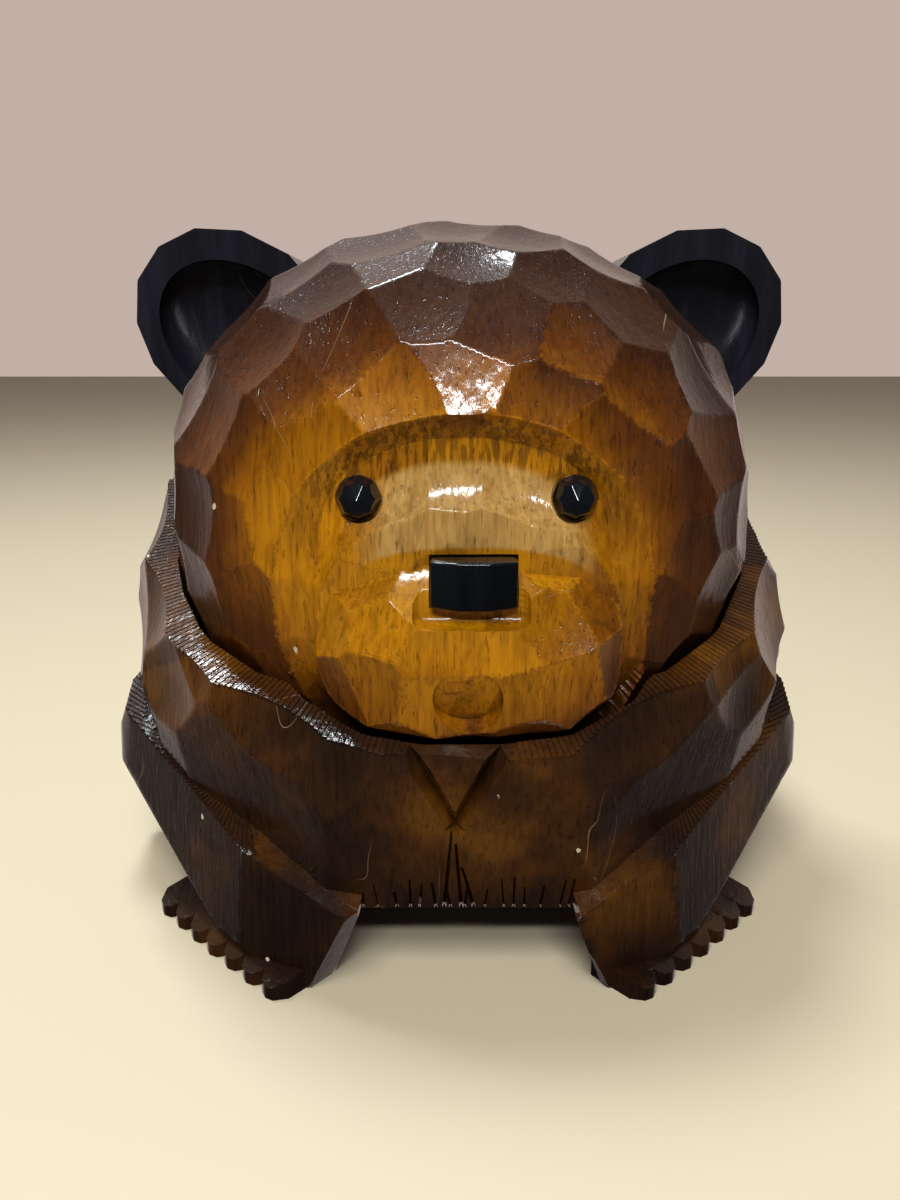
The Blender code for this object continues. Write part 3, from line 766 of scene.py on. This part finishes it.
def torso_cuts():
    directions = even_directions(TORSO_CUTS, 12, 0.05)
    cuts = hewn(
        TORSO_CENTRE, TORSO_HALF, TORSO_POWERS, 2, directions, TORSO_SCOOP_RADIUS, 8, 0.0002
    )
    add_shoulders(cuts)
    add_undercuts(cuts)
    for end in (-1, 1):
        cuts.add((0, end * HEM_Y, BELLY_HEIGHT), (0, end, -HEM_LEAN))
    cuts.add((0, 0, BELLY_HEIGHT), (0, 0, -1))
    return cuts


def add_shoulders(cuts):
    """Sloping cuts outside the collar band, so that the band keeps its width round the head."""
    draw = random.Random(21)
    middle, normal = collar_middle(), collar_normal()
    first, second = laid_on(Vector((0, -1, 0)), normal), Vector((1, 0, 0))
    for turn in SHOULDER_TURNS:
        turn = radians(turn)
        along = first * cos(turn) + second * sin(turn)
        head = reach_along(HEAD_CUTS, middle, along, SCOOP_EDGE)
        band = COLLAR_BAND * (1 + draw.uniform(-0.15, 0.15))
        edge = middle + along * (head + band)
        cuts.add(edge, along + normal * SHOULDER_LEAN, 1 / (2 * SHOULDER_SCOOP_RADIUS))


def add_undercuts(cuts):
    """Cuts that lean in under the torso, so that each leg's top stands proud of it."""
    for side in (-1, 1):
        for end in (-1, 1):
            leg = leg_cuts(side, end)
            start, normal = leg_middle(side, end)
            for turn, band in UNDERCUTS:
                turn = radians(turn)
                level = Vector((side * cos(turn), end * sin(turn), 0))
                along = laid_on(level, normal)
                edge = start + along * (reach_along(leg, start, along) - band)
                cuts.add(edge, level - Vector((0, 0, UNDERCUT_LEAN)))


def leg_facets():
    """Each cut on a leg: its turn from the side to the end, its tilt up, and its reach."""
    side, corner, angle = LEG_SIDE_REACH, LEG_CORNER_REACH, LEG_CORNER_ANGLE
    return (
        (angle, 4, corner),
        (angle, -28, corner + 0.0033),
        (angle - 16, -20, corner + 0.0012),
        (angle, 24, corner + 0.0012),
        (0, 3, side),
        (12, -40, side - 0.0098),
        (-18, -34, side - 0.0060),
        (14, 20, side + 0.0019),
        (24, 4, side + 0.0035),
        (-12, 4, side - 0.0005),
        (2, 27, side + 0.0008),
        (0, 45, side - 0.0125),
        (68, 2, corner - 0.0004),
        (64, 22, corner + 0.0010),
    )


def leg_top(end):
    point = Vector((0, end * LEG_TOP_START, BELLY_HEIGHT + LEG_TOP_RISE))
    return point, Vector((0, end * LEG_TOP_SLOPE, 1)).normalized()


def leg_middle(side, end):
    """A point on the plane of a leg's top, inside its rim, and the plane's normal."""
    point, normal = leg_top(end)
    start = Vector((side * 0.050, end * 0.050, 0))
    start.z = point.z - (start.y - point.y) * normal.y / normal.z
    return start, normal


def leg_cuts(side, end):
    cuts = Cuts()
    middle = Vector((0, 0, LEG_MIDDLE_HEIGHT))
    for turn, tilt, out in leg_facets():
        turn, tilt = radians(turn), radians(tilt)
        level = cos(tilt)
        normal = Vector((side * level * cos(turn), end * level * sin(turn), sin(tilt)))
        cuts.add(middle + normal * out, normal)
    inner_lean = (LEG_GAP_FLOOR_WIDTH - LEG_GAP_TOP_WIDTH) / 2 / BELLY_HEIGHT
    inner = (LEG_GAP_MIDDLE_X + side * LEG_GAP_FLOOR_WIDTH / 2, 0, 0)
    cuts.add(inner, (-side, 0, -inner_lean))
    corner = (side * LEG_FLOOR_CORNER[0], end * LEG_FLOOR_CORNER[1], 0)
    turn = LEG_CHAMFER_TURN
    cuts.add(corner, (-side * sin(turn), end * cos(turn), -LEG_CHAMFER_LEAN))
    cuts.add(*leg_top(end))
    dip = Vector((side * LEG_INNER_TOP[0], end * LEG_INNER_TOP[1], LEG_INNER_TOP[2]))
    cuts.add(dip, (-side * LEG_INNER_SLOPE, end * LEG_TOP_SLOPE, 1))
    cuts.add((0, end * LEG_SIDE_GAP / 2, 0), (0, -end, -LEG_SIDE_GAP_LEAN))
    cuts.add((0, 0, 0), (0, 0, -1))
    return cuts


def cuts_lump(name, cuts, centre, cells, pull=1.0):
    return lump(name, centre, lambda d: reach(cuts, centre, d), cells, pull)


def hatching(name, origin, normal, cuts, inset, allowed):
    """Fine ridges across a sloping rim: each runs inwards from the rim's outer edge."""
    normal = Vector(normal).normalized()
    first = normal.orthogonal().normalized()
    second = normal.cross(first)
    bm = bmesh.new()
    turn = 0.0
    while turn < tau:
        along = first * cos(turn) + second * sin(turn)
        far = reach_along(cuts, origin, along)
        turn += HATCH_PITCH / far
        if not allowed(origin + along * far):
            continue
        across = normal.cross(along)
        ends = []
        for distance in (far - inset, far - 0.00025):
            middle = origin + along * distance
            base = middle - normal * HATCH_HEIGHT
            half = HATCH_PITCH * distance / far
            foot, top = across * half * HATCH_FOOT, across * half * HATCH_TOP
            crest = normal * HATCH_HEIGHT
            ends.append((base + foot, middle + top + crest, middle - top + crest, base - foot))
        add_tube(bm, ends)
    return from_bmesh(name, bm)


def toe(side, end, number):
    """One toe: a small block that leans out and down from under the leg's corner."""
    angle = radians(LEG_CORNER_ANGLE)
    place = Matrix.Rotation(atan2(end * sin(angle), side * cos(angle)), 4, "Z")
    middle = (number - (TOES - 1) / 2) * TOE_PITCH + side * end * TOE_SHIFT
    half = TOE_PITCH * 0.56
    front = LEG_CORNER_REACH + TOE_REACH - 0.0012 * abs(number - (TOES - 1) / 2) / TOES
    outline = [(front - back, middle + half * share) for back, share in TOE_OUTLINE]
    rings = [[place @ Vector((x, y, z)) for x, y in outline] for z in (0, TOE_HEIGHT)]
    bm = add_tube(bmesh.new(), rings)
    for vert in bm.verts:
        local = place.inverted() @ vert.co
        if vert.co.z > TOE_HEIGHT / 2:
            local.z -= 0.42 * max(0.0, local.x - (front - 0.0065))
            vert.co = place @ local
    return from_bmesh("toe", bm)


def groove(name, start, end, width, depth, tail=0.0):
    """A V groove from start to end, open towards the front."""
    outward = Vector((0, -1, 0))
    along = (end - start).normalized()
    across = outward.cross(along).normalized()
    outward = along.cross(across)
    above, aside = outward * GROOVE_CLEARANCE, across * width * 1.5
    rings = [
        (place + above + aside, place - outward * depth, place + above - aside)
        for place in (start, end + along * tail)
    ]
    return from_bmesh(name, add_tube(bmesh.new(), rings))


def hem_point(x, height):
    """A point on the leaning flat above the belly hem."""
    return Vector((x, -(HEM_Y + HEM_LEAN * (height - BELLY_HEIGHT)), height))


def paint_body(body):
    """Gives each cut its own tone, as the stain took differently on each."""
    points = vertices_of(body)
    lumps = [torso_cuts()] + [leg_cuts(side, end) for side in (-1, 1) for end in (-1, 1)]
    nearest = np.full(len(points), BEYOND)
    labels = np.zeros(len(points))
    for number, cuts in enumerate(lumps):
        normals = np.array(cuts.normals)
        above = points @ normals.T - (np.array(cuts.points) * normals).sum(1)
        closer = np.abs(above.max(1)) < nearest
        nearest = np.where(closer, np.abs(above.max(1)), nearest)
        labels = np.where(closer, above.argmax(1) + 200 * number, labels)
    paint(body, "tone", tone_of(labels))
    rise = points[:, 2] - V_APEX_HEIGHT
    aside = np.abs(np.abs(points[:, 0] - V_MIDDLE_X) - rise * 0.46)
    near_v = (aside < 0.0022) & (points[:, 1] < -0.068) & (rise > 0.0005) & (rise < 0.0175)
    paint(body, "worn", near_v & (nearest > 0.0004))


def build_body(material):
    cuts = torso_cuts()
    with_collar = torso_cuts().add(COLLAR_FRONT, collar_normal())
    body = cuts_lump("body_carving", with_collar, TORSO_CENTRE, 112, 0.62)
    rim = hatching(
        "collar_hatching", collar_middle(), collar_normal(), cuts, COLLAR_HATCH_LENGTH,
        lambda p: abs(p.x) >= V_CLEARANCE or p.y >= 0,
    )
    for end in (-1, 1):
        for side in (-1, 1):
            leg = leg_cuts(side, end)
            middle = Vector((side * 0.055, end * 0.048, 0.024))
            join(body, cuts_lump("leg", leg, middle, 40))
            for number in range(TOES):
                join(body, toe(side, end, number))
            start, normal = leg_middle(side, end)
            band = hatching(
                "leg_hatching", start, normal, leg, LEG_HATCH_LENGTH,
                lambda p: side * p.x > 0.026 and end * p.y > 0.012,
            )
            join(body, band)
    join(body, rim)
    cut(body, lump("seat", HEAD_CENTRE, seat_shape, 48, 0.8))
    cut(body, dowel_bore(DOWEL_LOW.z - FIT_GAP, DOWEL_HIGH.z))
    apex = hem_point(V_MIDDLE_X, V_APEX_HEIGHT)
    for side in (-1, 1):
        top = Vector((V_MIDDLE_X + side * V_TOP.x, V_TOP.y, V_TOP.z))
        cut(body, groove("v", apex + (apex - top) * 0.08, top, V_WIDTH, V_DEPTH, 0.012))
    for foot, top, height in V_STROKES:
        low, high = hem_point(foot + V_MIDDLE_X, 0.0165), hem_point(top + V_MIDDLE_X, height)
        high.y -= 0.0007
        cut(body, groove("stroke", low, high, 0.0009, 0.0020))
    draw = random.Random(3)
    x = -0.021
    while x < 0.024:
        height = BELLY_HEIGHT + draw.uniform(0.0030, 0.0095)
        low = hem_point(x, BELLY_HEIGHT - 0.0005)
        high = hem_point(x + draw.uniform(-0.0010, 0.0010), height)
        low.y -= 0.0005
        high.y -= 0.0008
        cut(body, groove("nick", low, high, draw.uniform(0.0005, 0.0011), 0.0018))
        x += draw.uniform(0.0014, 0.0046)
    paint_body(body)
    finish_mesh(body, material)
    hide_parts("body")
    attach(body, "root")


# ---- Ears, eyes and nose


def build_ear(side, name, material):
    place = ear_frame(side, name)
    turn = place.to_3x3()
    drop = Vector((side * EAR_DROP, 0, 0))
    cuts = Cuts()
    scoop = 1 / (2 * EAR_SCOOP_RADIUS)
    for angle in EAR_FACETS:
        angle = radians(angle)
        across, up = side * cos(angle) / EAR_HALF_LENGTH, sin(angle) / EAR_HEIGHT
        local = Vector((across, 0, up)).normalized()
        out = hypot(EAR_HALF_LENGTH * local.x, EAR_HEIGHT * local.z)
        cuts.add(place @ (drop + local * out), turn @ local)
    front = Vector((0, -EAR_THICKNESS / 2, 0))
    back = Vector((0, EAR_THICKNESS / 2, 0))
    shoulder = Vector((0, EAR_THICKNESS / 2, EAR_HEIGHT * 0.45))
    planes = [(front, (0, -1, -0.10), 0.0), (back, (0, 1, 0.25), scoop)]
    planes += [(shoulder, (aside, 1, 0.9), scoop) for aside in (-0.55, 0.0, 0.55)]
    planes.append((Vector((0, 0, -0.012)), (0, 0, -1), 0.0))
    for point, normal, bend in planes:
        cuts.add(place @ point, turn @ Vector(normal), bend)
    middle = place @ Vector((0, 0, 0.004))
    ear = cuts_lump(f"ear_{name}_carving", cuts, middle, 60)
    aside = (side * (EAR_DROP + 0.0012), -0.0004, -0.0035)
    hollow = Matrix.Translation(front) @ Matrix.Translation(aside)
    half = (EAR_HALF_LENGTH - EAR_RIM + 0.0008, EAR_HOLLOW, EAR_HEIGHT - EAR_RIM + 0.0035)
    cut(ear, ball("hollow", half, place @ hollow))
    cut(ear, lump("ear_seat", HEAD_CENTRE, seat_for_ear, 80))
    cut(ear, peg_bore(place))
    finish_mesh(ear, material)
    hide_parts(f"ear_{name}")
    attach(ear, "root")


def seat_for_ear(directions):
    lengths, labels = reach(HEAD_CUTS, HEAD_CENTRE, directions)
    return lengths + EAR_SEAT_GAP, labels


def build_eye(name, material):
    """A bead with a round girdle and a dome of ground facets, on a shank."""
    low, high, middle, radius = eye_place(name)
    depth = EYE_GIRDLE_DEPTH
    girdle = Vector((middle.x, low.y + depth, middle.z))
    cuts = Cuts()
    for step in range(40):
        angle = tau * step / 40
        out = Vector((cos(angle), 0, sin(angle)))
        cuts.add(girdle + out * radius, out)
    for count, tilt, drop in ((8, 62, 0.00048), (8, 30, 0.00010)):
        for step in range(count):
            angle = tau * (step + (0.5 if tilt > 45 else 0.0)) / count
            level = sin(radians(tilt))
            ahead = -cos(radians(tilt))
            out = Vector((level * cos(angle), ahead, level * sin(angle)))
            size = sqrt((radius * out.x) ** 2 + (depth * out.y) ** 2 + (radius * out.z) ** 2)
            cuts.add(girdle + out * (size - drop), out)
    cuts.add(girdle + Vector((0, 0.0003, 0)), (0, 1, 0))
    centre = girdle - Vector((0, 0.0008, 0))
    eye = cuts_lump(f"eye_{name}_bead", cuts, centre, 40)
    start = (middle.x, girdle.y - 0.0002, middle.z)
    join(eye, rod("shank", EYE_SHANK_RADIUS, start, (middle.x, high.y, middle.z), 24))
    finish_mesh(eye, material)
    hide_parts(f"eye_{name}")
    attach(eye, "root")


def build_nose(material):
    """The nose block: three upright facets in front, a bowed underside and worn edges."""
    low, high = NOSE_LOW, NOSE_HIGH
    half = (high.x - low.x) / 2
    middle = (high.x + low.x) / 2
    rows = []
    for share in (-1.0, -0.72, -NOSE_FRONT_SHARE, 0.0, NOSE_FRONT_SHARE, 0.72, 1.0):
        x = middle + half * share
        front = low.y + max(0.0, abs(share) - NOSE_FRONT_SHARE) * NOSE_TURN_BACK
        under = low.z - NOSE_BOW * (1 - share * share) + 0.0003
        rows.append(
            ((x, front + 0.0002, under), (x, front, high.z), (x, high.y, high.z), (x, high.y, under))
        )
    nose = from_bmesh("nose_block", add_tube(bmesh.new(), rows))
    edge = nose.modifiers.new("worn edges", "BEVEL")
    edge.width = 0.0006
    edge.segments = 3
    edge.limit_method = "ANGLE"
    edge.angle_limit = radians(4)
    apply_modifiers(nose)
    finish_mesh(nose, material)
    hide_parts("nose")
    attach(nose, "root")


# ---- Materials


def set_stops(ramp, stops):
    elements = ramp.color_ramp.elements
    while len(elements) < len(stops):
        elements.new(0.5)
    for element, (position, colour) in zip(elements, stops):
        element.position = position
        element.color = (*colour, 1)


class Shading:
    """A material's node tree, built one node at a time."""

    def __init__(self, name):
        self.material = bpy.data.materials.new(name)
        self.material.use_nodes = True
        self.tree = self.material.node_tree
        self.shader = self.tree.nodes["Principled BSDF"]

    def node(self, kind, inputs=None, **settings):
        made = self.tree.nodes.new(kind)
        for key, value in settings.items():
            setattr(made, key, value)
        for key, value in (inputs or {}).items():
            self.put(made.inputs[key], value)
        return made

    def put(self, socket, value):
        if isinstance(value, bpy.types.NodeSocket):
            self.tree.links.new(value, socket)
        else:
            socket.default_value = value

    def math(self, operation, first, second=0.0, third=0.0):
        made = self.node("ShaderNodeMath", operation=operation)
        for socket, value in zip(made.inputs, (first, second, third)):
            self.put(socket, value)
        return made.outputs[0]

    def place(self, scale=(1, 1, 1), shift=(0, 0, 0)):
        """Object coordinates, stretched and moved."""
        coordinates = self.node("ShaderNodeTexCoord").outputs["Object"]
        inputs = {"Vector": coordinates, "Scale": scale, "Location": shift}
        return self.node("ShaderNodeMapping", inputs, vector_type="POINT").outputs[0]

    def noise(self, scale, stretch=(1, 1, 1), detail=3.0, rough=0.55, shift=(0, 0, 0), warp=0.0):
        inputs = {"Vector": self.place(stretch, shift), "Scale": scale, "Detail": detail}
        inputs.update({"Roughness": rough, "Distortion": warp})
        return self.node("ShaderNodeTexNoise", inputs).outputs["Fac"]

    def times(self, first, second):
        return self.math("MULTIPLY", first, second)

    def line(self, value, slope, start):
        return self.math("MULTIPLY_ADD", value, slope, start)

    def ramp(self, value, stops):
        made = self.node("ShaderNodeValToRGB", {"Fac": value})
        set_stops(made, stops)
        return made.outputs[0]

    def step(self, value, low, high):
        inputs = {"Value": value, "From Min": low, "From Max": high}
        made = self.node("ShaderNodeMapRange", inputs, interpolation_type="SMOOTHSTEP")
        return made.outputs[0]

    def mix(self, share, first, second, blend="MIX"):
        made = self.node("ShaderNodeMix", data_type="RGBA", blend_type=blend)
        self.put(made.inputs[0], share)
        self.put(made.inputs[6], (*first, 1) if isinstance(first, tuple) else first)
        self.put(made.inputs[7], (*second, 1) if isinstance(second, tuple) else second)
        return made.outputs[2]

    def bump(self, height, distance, strength=1.0, normal=None):
        inputs = {"Height": height, "Distance": distance, "Strength": strength}
        made = self.node("ShaderNodeBump", inputs)
        if normal:
            self.put(made.inputs["Normal"], normal)
        return made.outputs[0]

    def attribute(self, name):
        return self.node("ShaderNodeAttribute", attribute_name=name).outputs["Fac"]

    def set(self, **values):
        for name, value in values.items():
            self.shader.inputs[name.replace("_", " ")].default_value = value

    def feed(self, name, output):
        self.tree.links.new(output, self.shader.inputs[name])


def wear(s, colour, chips=0.86, scratch=0.35):
    """Hairline scratches and small pale chips over a finish."""
    wander = s.noise(26, (1, 1, 0.6), 1.0, 0.3, (3.1, 0.7, 1.9), 1.4)
    line = s.math("ABSOLUTE", s.math("SUBTRACT", wander, 0.5))
    line = s.step(line, 0.0016, 0.0004)
    patch = s.step(s.noise(38, shift=(7, 2, 5)), 0.54, 0.62)
    colour = s.mix(s.times(s.times(line, patch), scratch), colour, (0.50, 0.34, 0.18))
    cells = s.node(
        "ShaderNodeTexVoronoi", {"Vector": s.place((1, 1, 0.6)), "Scale": 120.0, "Randomness": 1.0}
    )
    rare = s.node("ShaderNodeSeparateColor", {"Color": cells.outputs["Color"]}).outputs[0]
    rare = s.math("GREATER_THAN", rare, chips)
    ragged = s.line(s.noise(800, shift=(1, 1, 1)), 0.16, cells.outputs["Distance"])
    chip = s.times(s.step(ragged, 0.150, 0.135), rare)
    colour = s.mix(s.times(chip, 0.85), colour, (0.66, 0.56, 0.40))
    return colour, chip


def grain_of(s, seed):
    """Upright fibres, dark pores and torn flecks."""
    shift = (seed, seed * 0.7, seed * 0.3)
    fibres = s.noise(900, (1, 1, 0.05), 3.0, 0.6, shift)
    bands = s.noise(210, (1, 1, 0.06), 2.0, 0.5, shift)
    pores = s.step(s.noise(1500, (1, 1, 0.12), 2.0, 0.6, shift), 0.60, 0.70)
    return fibres, bands, pores


def lacquered_wood(name, colour_of, seed, coat_roughness=0.09):
    """Stained end-grain wood under a thick gloss coat."""
    s = Shading(name)
    fibres, bands, pores = grain_of(s, seed)
    colour = colour_of(s)
    dark = s.mix(s.times(s.step(fibres, 0.62, 0.30), 0.42), colour, (0.30, 0.22, 0.18), "MULTIPLY")
    light = s.mix(s.times(s.step(bands, 0.45, 0.75), 0.25), dark, (1.6, 1.5, 1.3), "MULTIPLY")
    flecked = s.mix(s.times(pores, 0.55), light, (0.25, 0.18, 0.15), "MULTIPLY")
    final, chip = wear(s, flecked)
    s.feed("Base Color", final)
    rough = s.line(s.noise(160, shift=(5, 5, 5)), 0.22, 0.26)
    s.feed("Roughness", s.math("ADD", rough, s.times(chip, 0.3)))
    s.feed("Coat Roughness", s.line(s.noise(120, shift=(2, 9, 4)), 0.10, coat_roughness - 0.04))
    s.set(Coat_Weight=1.0, Coat_IOR=1.42, Specular_IOR_Level=0.10)
    height = s.math("SUBTRACT", fibres, s.times(pores, 0.6))
    under = s.bump(height, 0.00030, 0.55)
    s.feed("Normal", s.bump(chip, 0.0004, -0.6, under))
    over = s.bump(s.noise(230, (1, 1, 0.7), 2.0, 0.5, (4, 4, 4)), 0.00050, 0.35)
    over = s.bump(height, 0.00018, 0.30, over)
    s.feed("Coat Normal", s.bump(chip, 0.0004, -0.6, over))
    return s.material


def ellipse_distance(s, middle, half):
    """Distance from a point, in shares of the half sizes."""
    shift = [-m / h for m, h in zip(middle, half)]
    scaled = s.place([1 / h for h in half], shift)
    return s.node("ShaderNodeVectorMath", {"Vector": scaled}, operation="LENGTH").outputs["Value"]


def head_colour(s):
    """Amber at the face, stained darker outwards, with a painted reflection lightening the trough
    floor.
    """
    middle = (HEAD_CENTRE.x - 0.004, HEAD_LOW.y + 0.004, HEAD_CENTRE.z + 0.000)
    distance = ellipse_distance(s, middle, (0.047, 0.036, 0.034))
    cloud = s.noise(48, detail=4.0, rough=0.6, shift=(1.3, 0.2, 0.4))
    distance = s.math("ADD", distance, s.line(cloud, 0.60, -0.30))
    tone = s.attribute("tone")
    distance = s.math("ADD", distance, s.line(tone, 0.44, -0.20))
    stain = s.ramp(
        s.times(distance, 0.5),
        (
            (0.00, (0.40, 0.172, 0.004)),
            (0.32, (0.38, 0.152, 0.002)),
            (0.46, (0.25, 0.086, 0.002)),
            (0.57, (0.100, 0.030, 0.004)),
            (0.70, (0.048, 0.016, 0.006)),
            (1.00, (0.030, 0.012, 0.007)),
        ),
    )
    tufts = s.noise(760, (1, 1, 0.16), 3.0, 0.6, (2, 2, 2))
    # Painted reflection: a lighter, fibrous colour painted on the trough floor in place of its
    # reflection of the ceiling.
    pale = s.attribute("pale")
    painted_trough_reflection = s.mix(s.step(tufts, 0.3, 0.8), (0.36, 0.200, 0.052), (0.44, 0.270, 0.085))
    colour = s.mix(pale, stain, painted_trough_reflection)
    fringe = s.times(s.attribute("fringe"), s.step(tufts, 0.54, 0.44))
    colour = s.mix(s.times(fringe, 0.62), colour, (0.060, 0.024, 0.003))
    shade = s.times(s.step(s.math("FRACT", s.times(tone, 7.3)), 0.25, 0.9), 0.62)
    shade = s.times(shade, s.math("SUBTRACT", 1.0, pale))
    colour = s.mix(shade, colour, (0.50, 0.42, 0.36), "MULTIPLY")
    mottle = s.times(s.step(s.noise(330, (1, 1, 0.35), 4.0, 0.7, (6, 1, 1)), 0.50, 0.68), 0.35)
    return s.mix(mottle, colour, (0.35, 0.27, 0.20), "MULTIPLY")


def body_colour(s):
    """Dark brown with reddish and ochre patches where the stain is thin, darkened towards the floor by
    painted shade.
    """
    cloud = s.noise(30, detail=3.0, rough=0.55, shift=(4.4, 0.2, 2.4))
    cloud = s.line(s.attribute("tone"), 0.20, s.math("SUBTRACT", cloud, 0.12))
    colour = s.ramp(
        cloud,
        (
            (0.34, (0.016, 0.007, 0.004)),
            (0.47, (0.028, 0.011, 0.004)),
            (0.57, (0.056, 0.019, 0.003)),
            (0.68, (0.105, 0.040, 0.004)),
        ),
    )
    colour = s.mix(s.attribute("worn"), colour, (0.110, 0.056, 0.010))
    # Painted shade: the colour is darkened below 40 mm, as the lower body lies in shade near the
    # floor.
    low = s.node("ShaderNodeSeparateXYZ", {"Vector": s.place()}).outputs["Z"]
    shade = s.step(low, 0.040, 0.002)
    return s.mix(s.times(shade, 0.75), colour, (0.35, 0.33, 0.33), "MULTIPLY")


def black_lacquer(name, tint, coat_roughness, chips):
    s = Shading(name)
    fibres, bands, pores = grain_of(s, 3.0)
    colour = s.mix(s.step(bands, 0.40, 0.75), tint, tuple(c * 2.1 for c in tint))
    colour, chip = wear(s, colour, chips, 0.10)
    s.feed("Base Color", colour)
    s.feed("Roughness", s.line(bands, 0.20, 0.45))
    s.feed("Coat Roughness", s.line(s.noise(140), 0.10, coat_roughness))
    s.set(Coat_Weight=1.0, Coat_IOR=1.45, Specular_IOR_Level=0.08)
    under = s.bump(s.math("SUBTRACT", fibres, pores), 0.00030, 0.6)
    s.feed("Normal", under)
    s.feed("Coat Normal", s.bump(chip, 0.0004, -0.5, s.bump(fibres, 0.00020, 0.30)))
    return s.material


def bead_material():
    s = Shading("black_bead")
    smudge = s.noise(600, detail=2.0)
    s.feed("Base Color", s.mix(smudge, (0.002, 0.0025, 0.0035), (0.006, 0.007, 0.010)))
    s.feed("Roughness", s.line(smudge, 0.10, 0.03))
    s.set(Coat_Weight=0.6, Coat_Roughness=0.03, Specular_IOR_Level=0.7)
    return s.material


def bare_wood():
    s = Shading("bare_wood")
    fibres, bands, pores = grain_of(s, 8.0)
    colour = s.mix(bands, (0.50, 0.33, 0.17), (0.66, 0.48, 0.29))
    s.feed("Base Color", s.mix(s.times(pores, 0.5), colour, (0.4, 0.3, 0.2), "MULTIPLY"))
    s.feed("Roughness", s.line(fibres, 0.2, 0.5))
    s.feed("Normal", s.bump(fibres, 0.0003, 0.5))
    return s.material


# ---- Stage


def build_floor():
    s = Shading("pale_floor")
    s.set(Base_Color=(0.52, 0.45, 0.32, 1), Roughness=0.55)
    bm = bmesh.new()
    bmesh.ops.create_grid(bm, x_segments=1, y_segments=1, size=3.0)
    floor = from_bmesh("floor", bm)
    floor.data.materials.append(s.material)
    floor.visible_glossy = False
    floor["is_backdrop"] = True


def area_light(name, place, size, energy, colour):
    light = bpy.data.lights.new(name, "AREA")
    light.shape = "RECTANGLE"
    light.size, light.size_y = size
    light.energy = energy
    light.color = colour
    obj = link(name, light)
    obj.location = place
    aim = LIGHT_TARGET - Vector(place)
    obj.rotation_euler = aim.to_track_quat("-Z", "Y").to_euler()
    return obj


def build_lights():
    world = bpy.data.worlds.new("room")
    bpy.context.scene.world = world
    world.use_nodes = True
    nodes, links = world.node_tree.nodes, world.node_tree.links
    background = nodes["Background"]
    coordinates = nodes.new("ShaderNodeTexCoord")
    parts = nodes.new("ShaderNodeSeparateXYZ")
    wall = nodes.new("ShaderNodeValToRGB")
    links.new(coordinates.outputs["Generated"], parts.inputs[0])
    links.new(parts.outputs["Y"], wall.inputs["Fac"])
    links.new(wall.outputs["Color"], background.inputs["Color"])
    set_stops(wall, WALL_STOPS)
    background.inputs["Strength"].default_value = 1.0
    area_light("ceiling_strip", (0.00, -0.98, 0.95), (0.60, 0.09), 9.0, (0.92, 0.97, 1.0))
    area_light("ceiling_panel", (-0.18, 0.15, 1.00), (0.26, 0.20), 9.0, (0.86, 0.94, 1.0))
    fill = area_light("front_fill", (-0.15, -0.85, 1.45), (0.8, 0.6), 20.0, (1.0, 0.96, 0.90))
    fill.visible_glossy = False


def build_camera():
    camera = bpy.data.cameras.new("camera")
    camera.sensor_fit = "VERTICAL"
    camera.sensor_height = 36
    camera.lens = LENS
    obj = link("camera", camera)
    obj.location = CAMERA_PLACE
    obj.rotation_euler = (radians(90) - CAMERA_DIP, 0, 0)
    bpy.context.scene.camera = obj


def main():
    brown = lacquered_wood("dark_lacquered_wood", body_colour, 1.0)
    amber = lacquered_wood("amber_lacquered_wood", head_colour, 5.0)
    black = black_lacquer("black_lacquered_wood", (0.0060, 0.0060, 0.0100), 0.16, 0.88)
    nose_black = black_lacquer("black_nose_lacquer", (0.0015, 0.0020, 0.0030), 0.05, 0.93)
    build_camera()
    build_head(amber)
    build_body(brown)
    bead = bead_material()
    for side, name in ((-1, "left"), (1, "right")):
        build_ear(side, name, black)
        build_eye(name, bead)
    build_nose(nose_black)
    bare = bare_wood()
    for name in ("neck_dowel", "ear_peg_left", "ear_peg_right"):
        dress(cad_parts[name], bare)
    build_floor()
    build_lights()
    bpy.context.scene.view_settings.view_transform = "Standard"


main()
both = {"cad": cad_bounds, "visual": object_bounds()}
{name: [list(corner) for corner in pair] for name, pair in both.items()}
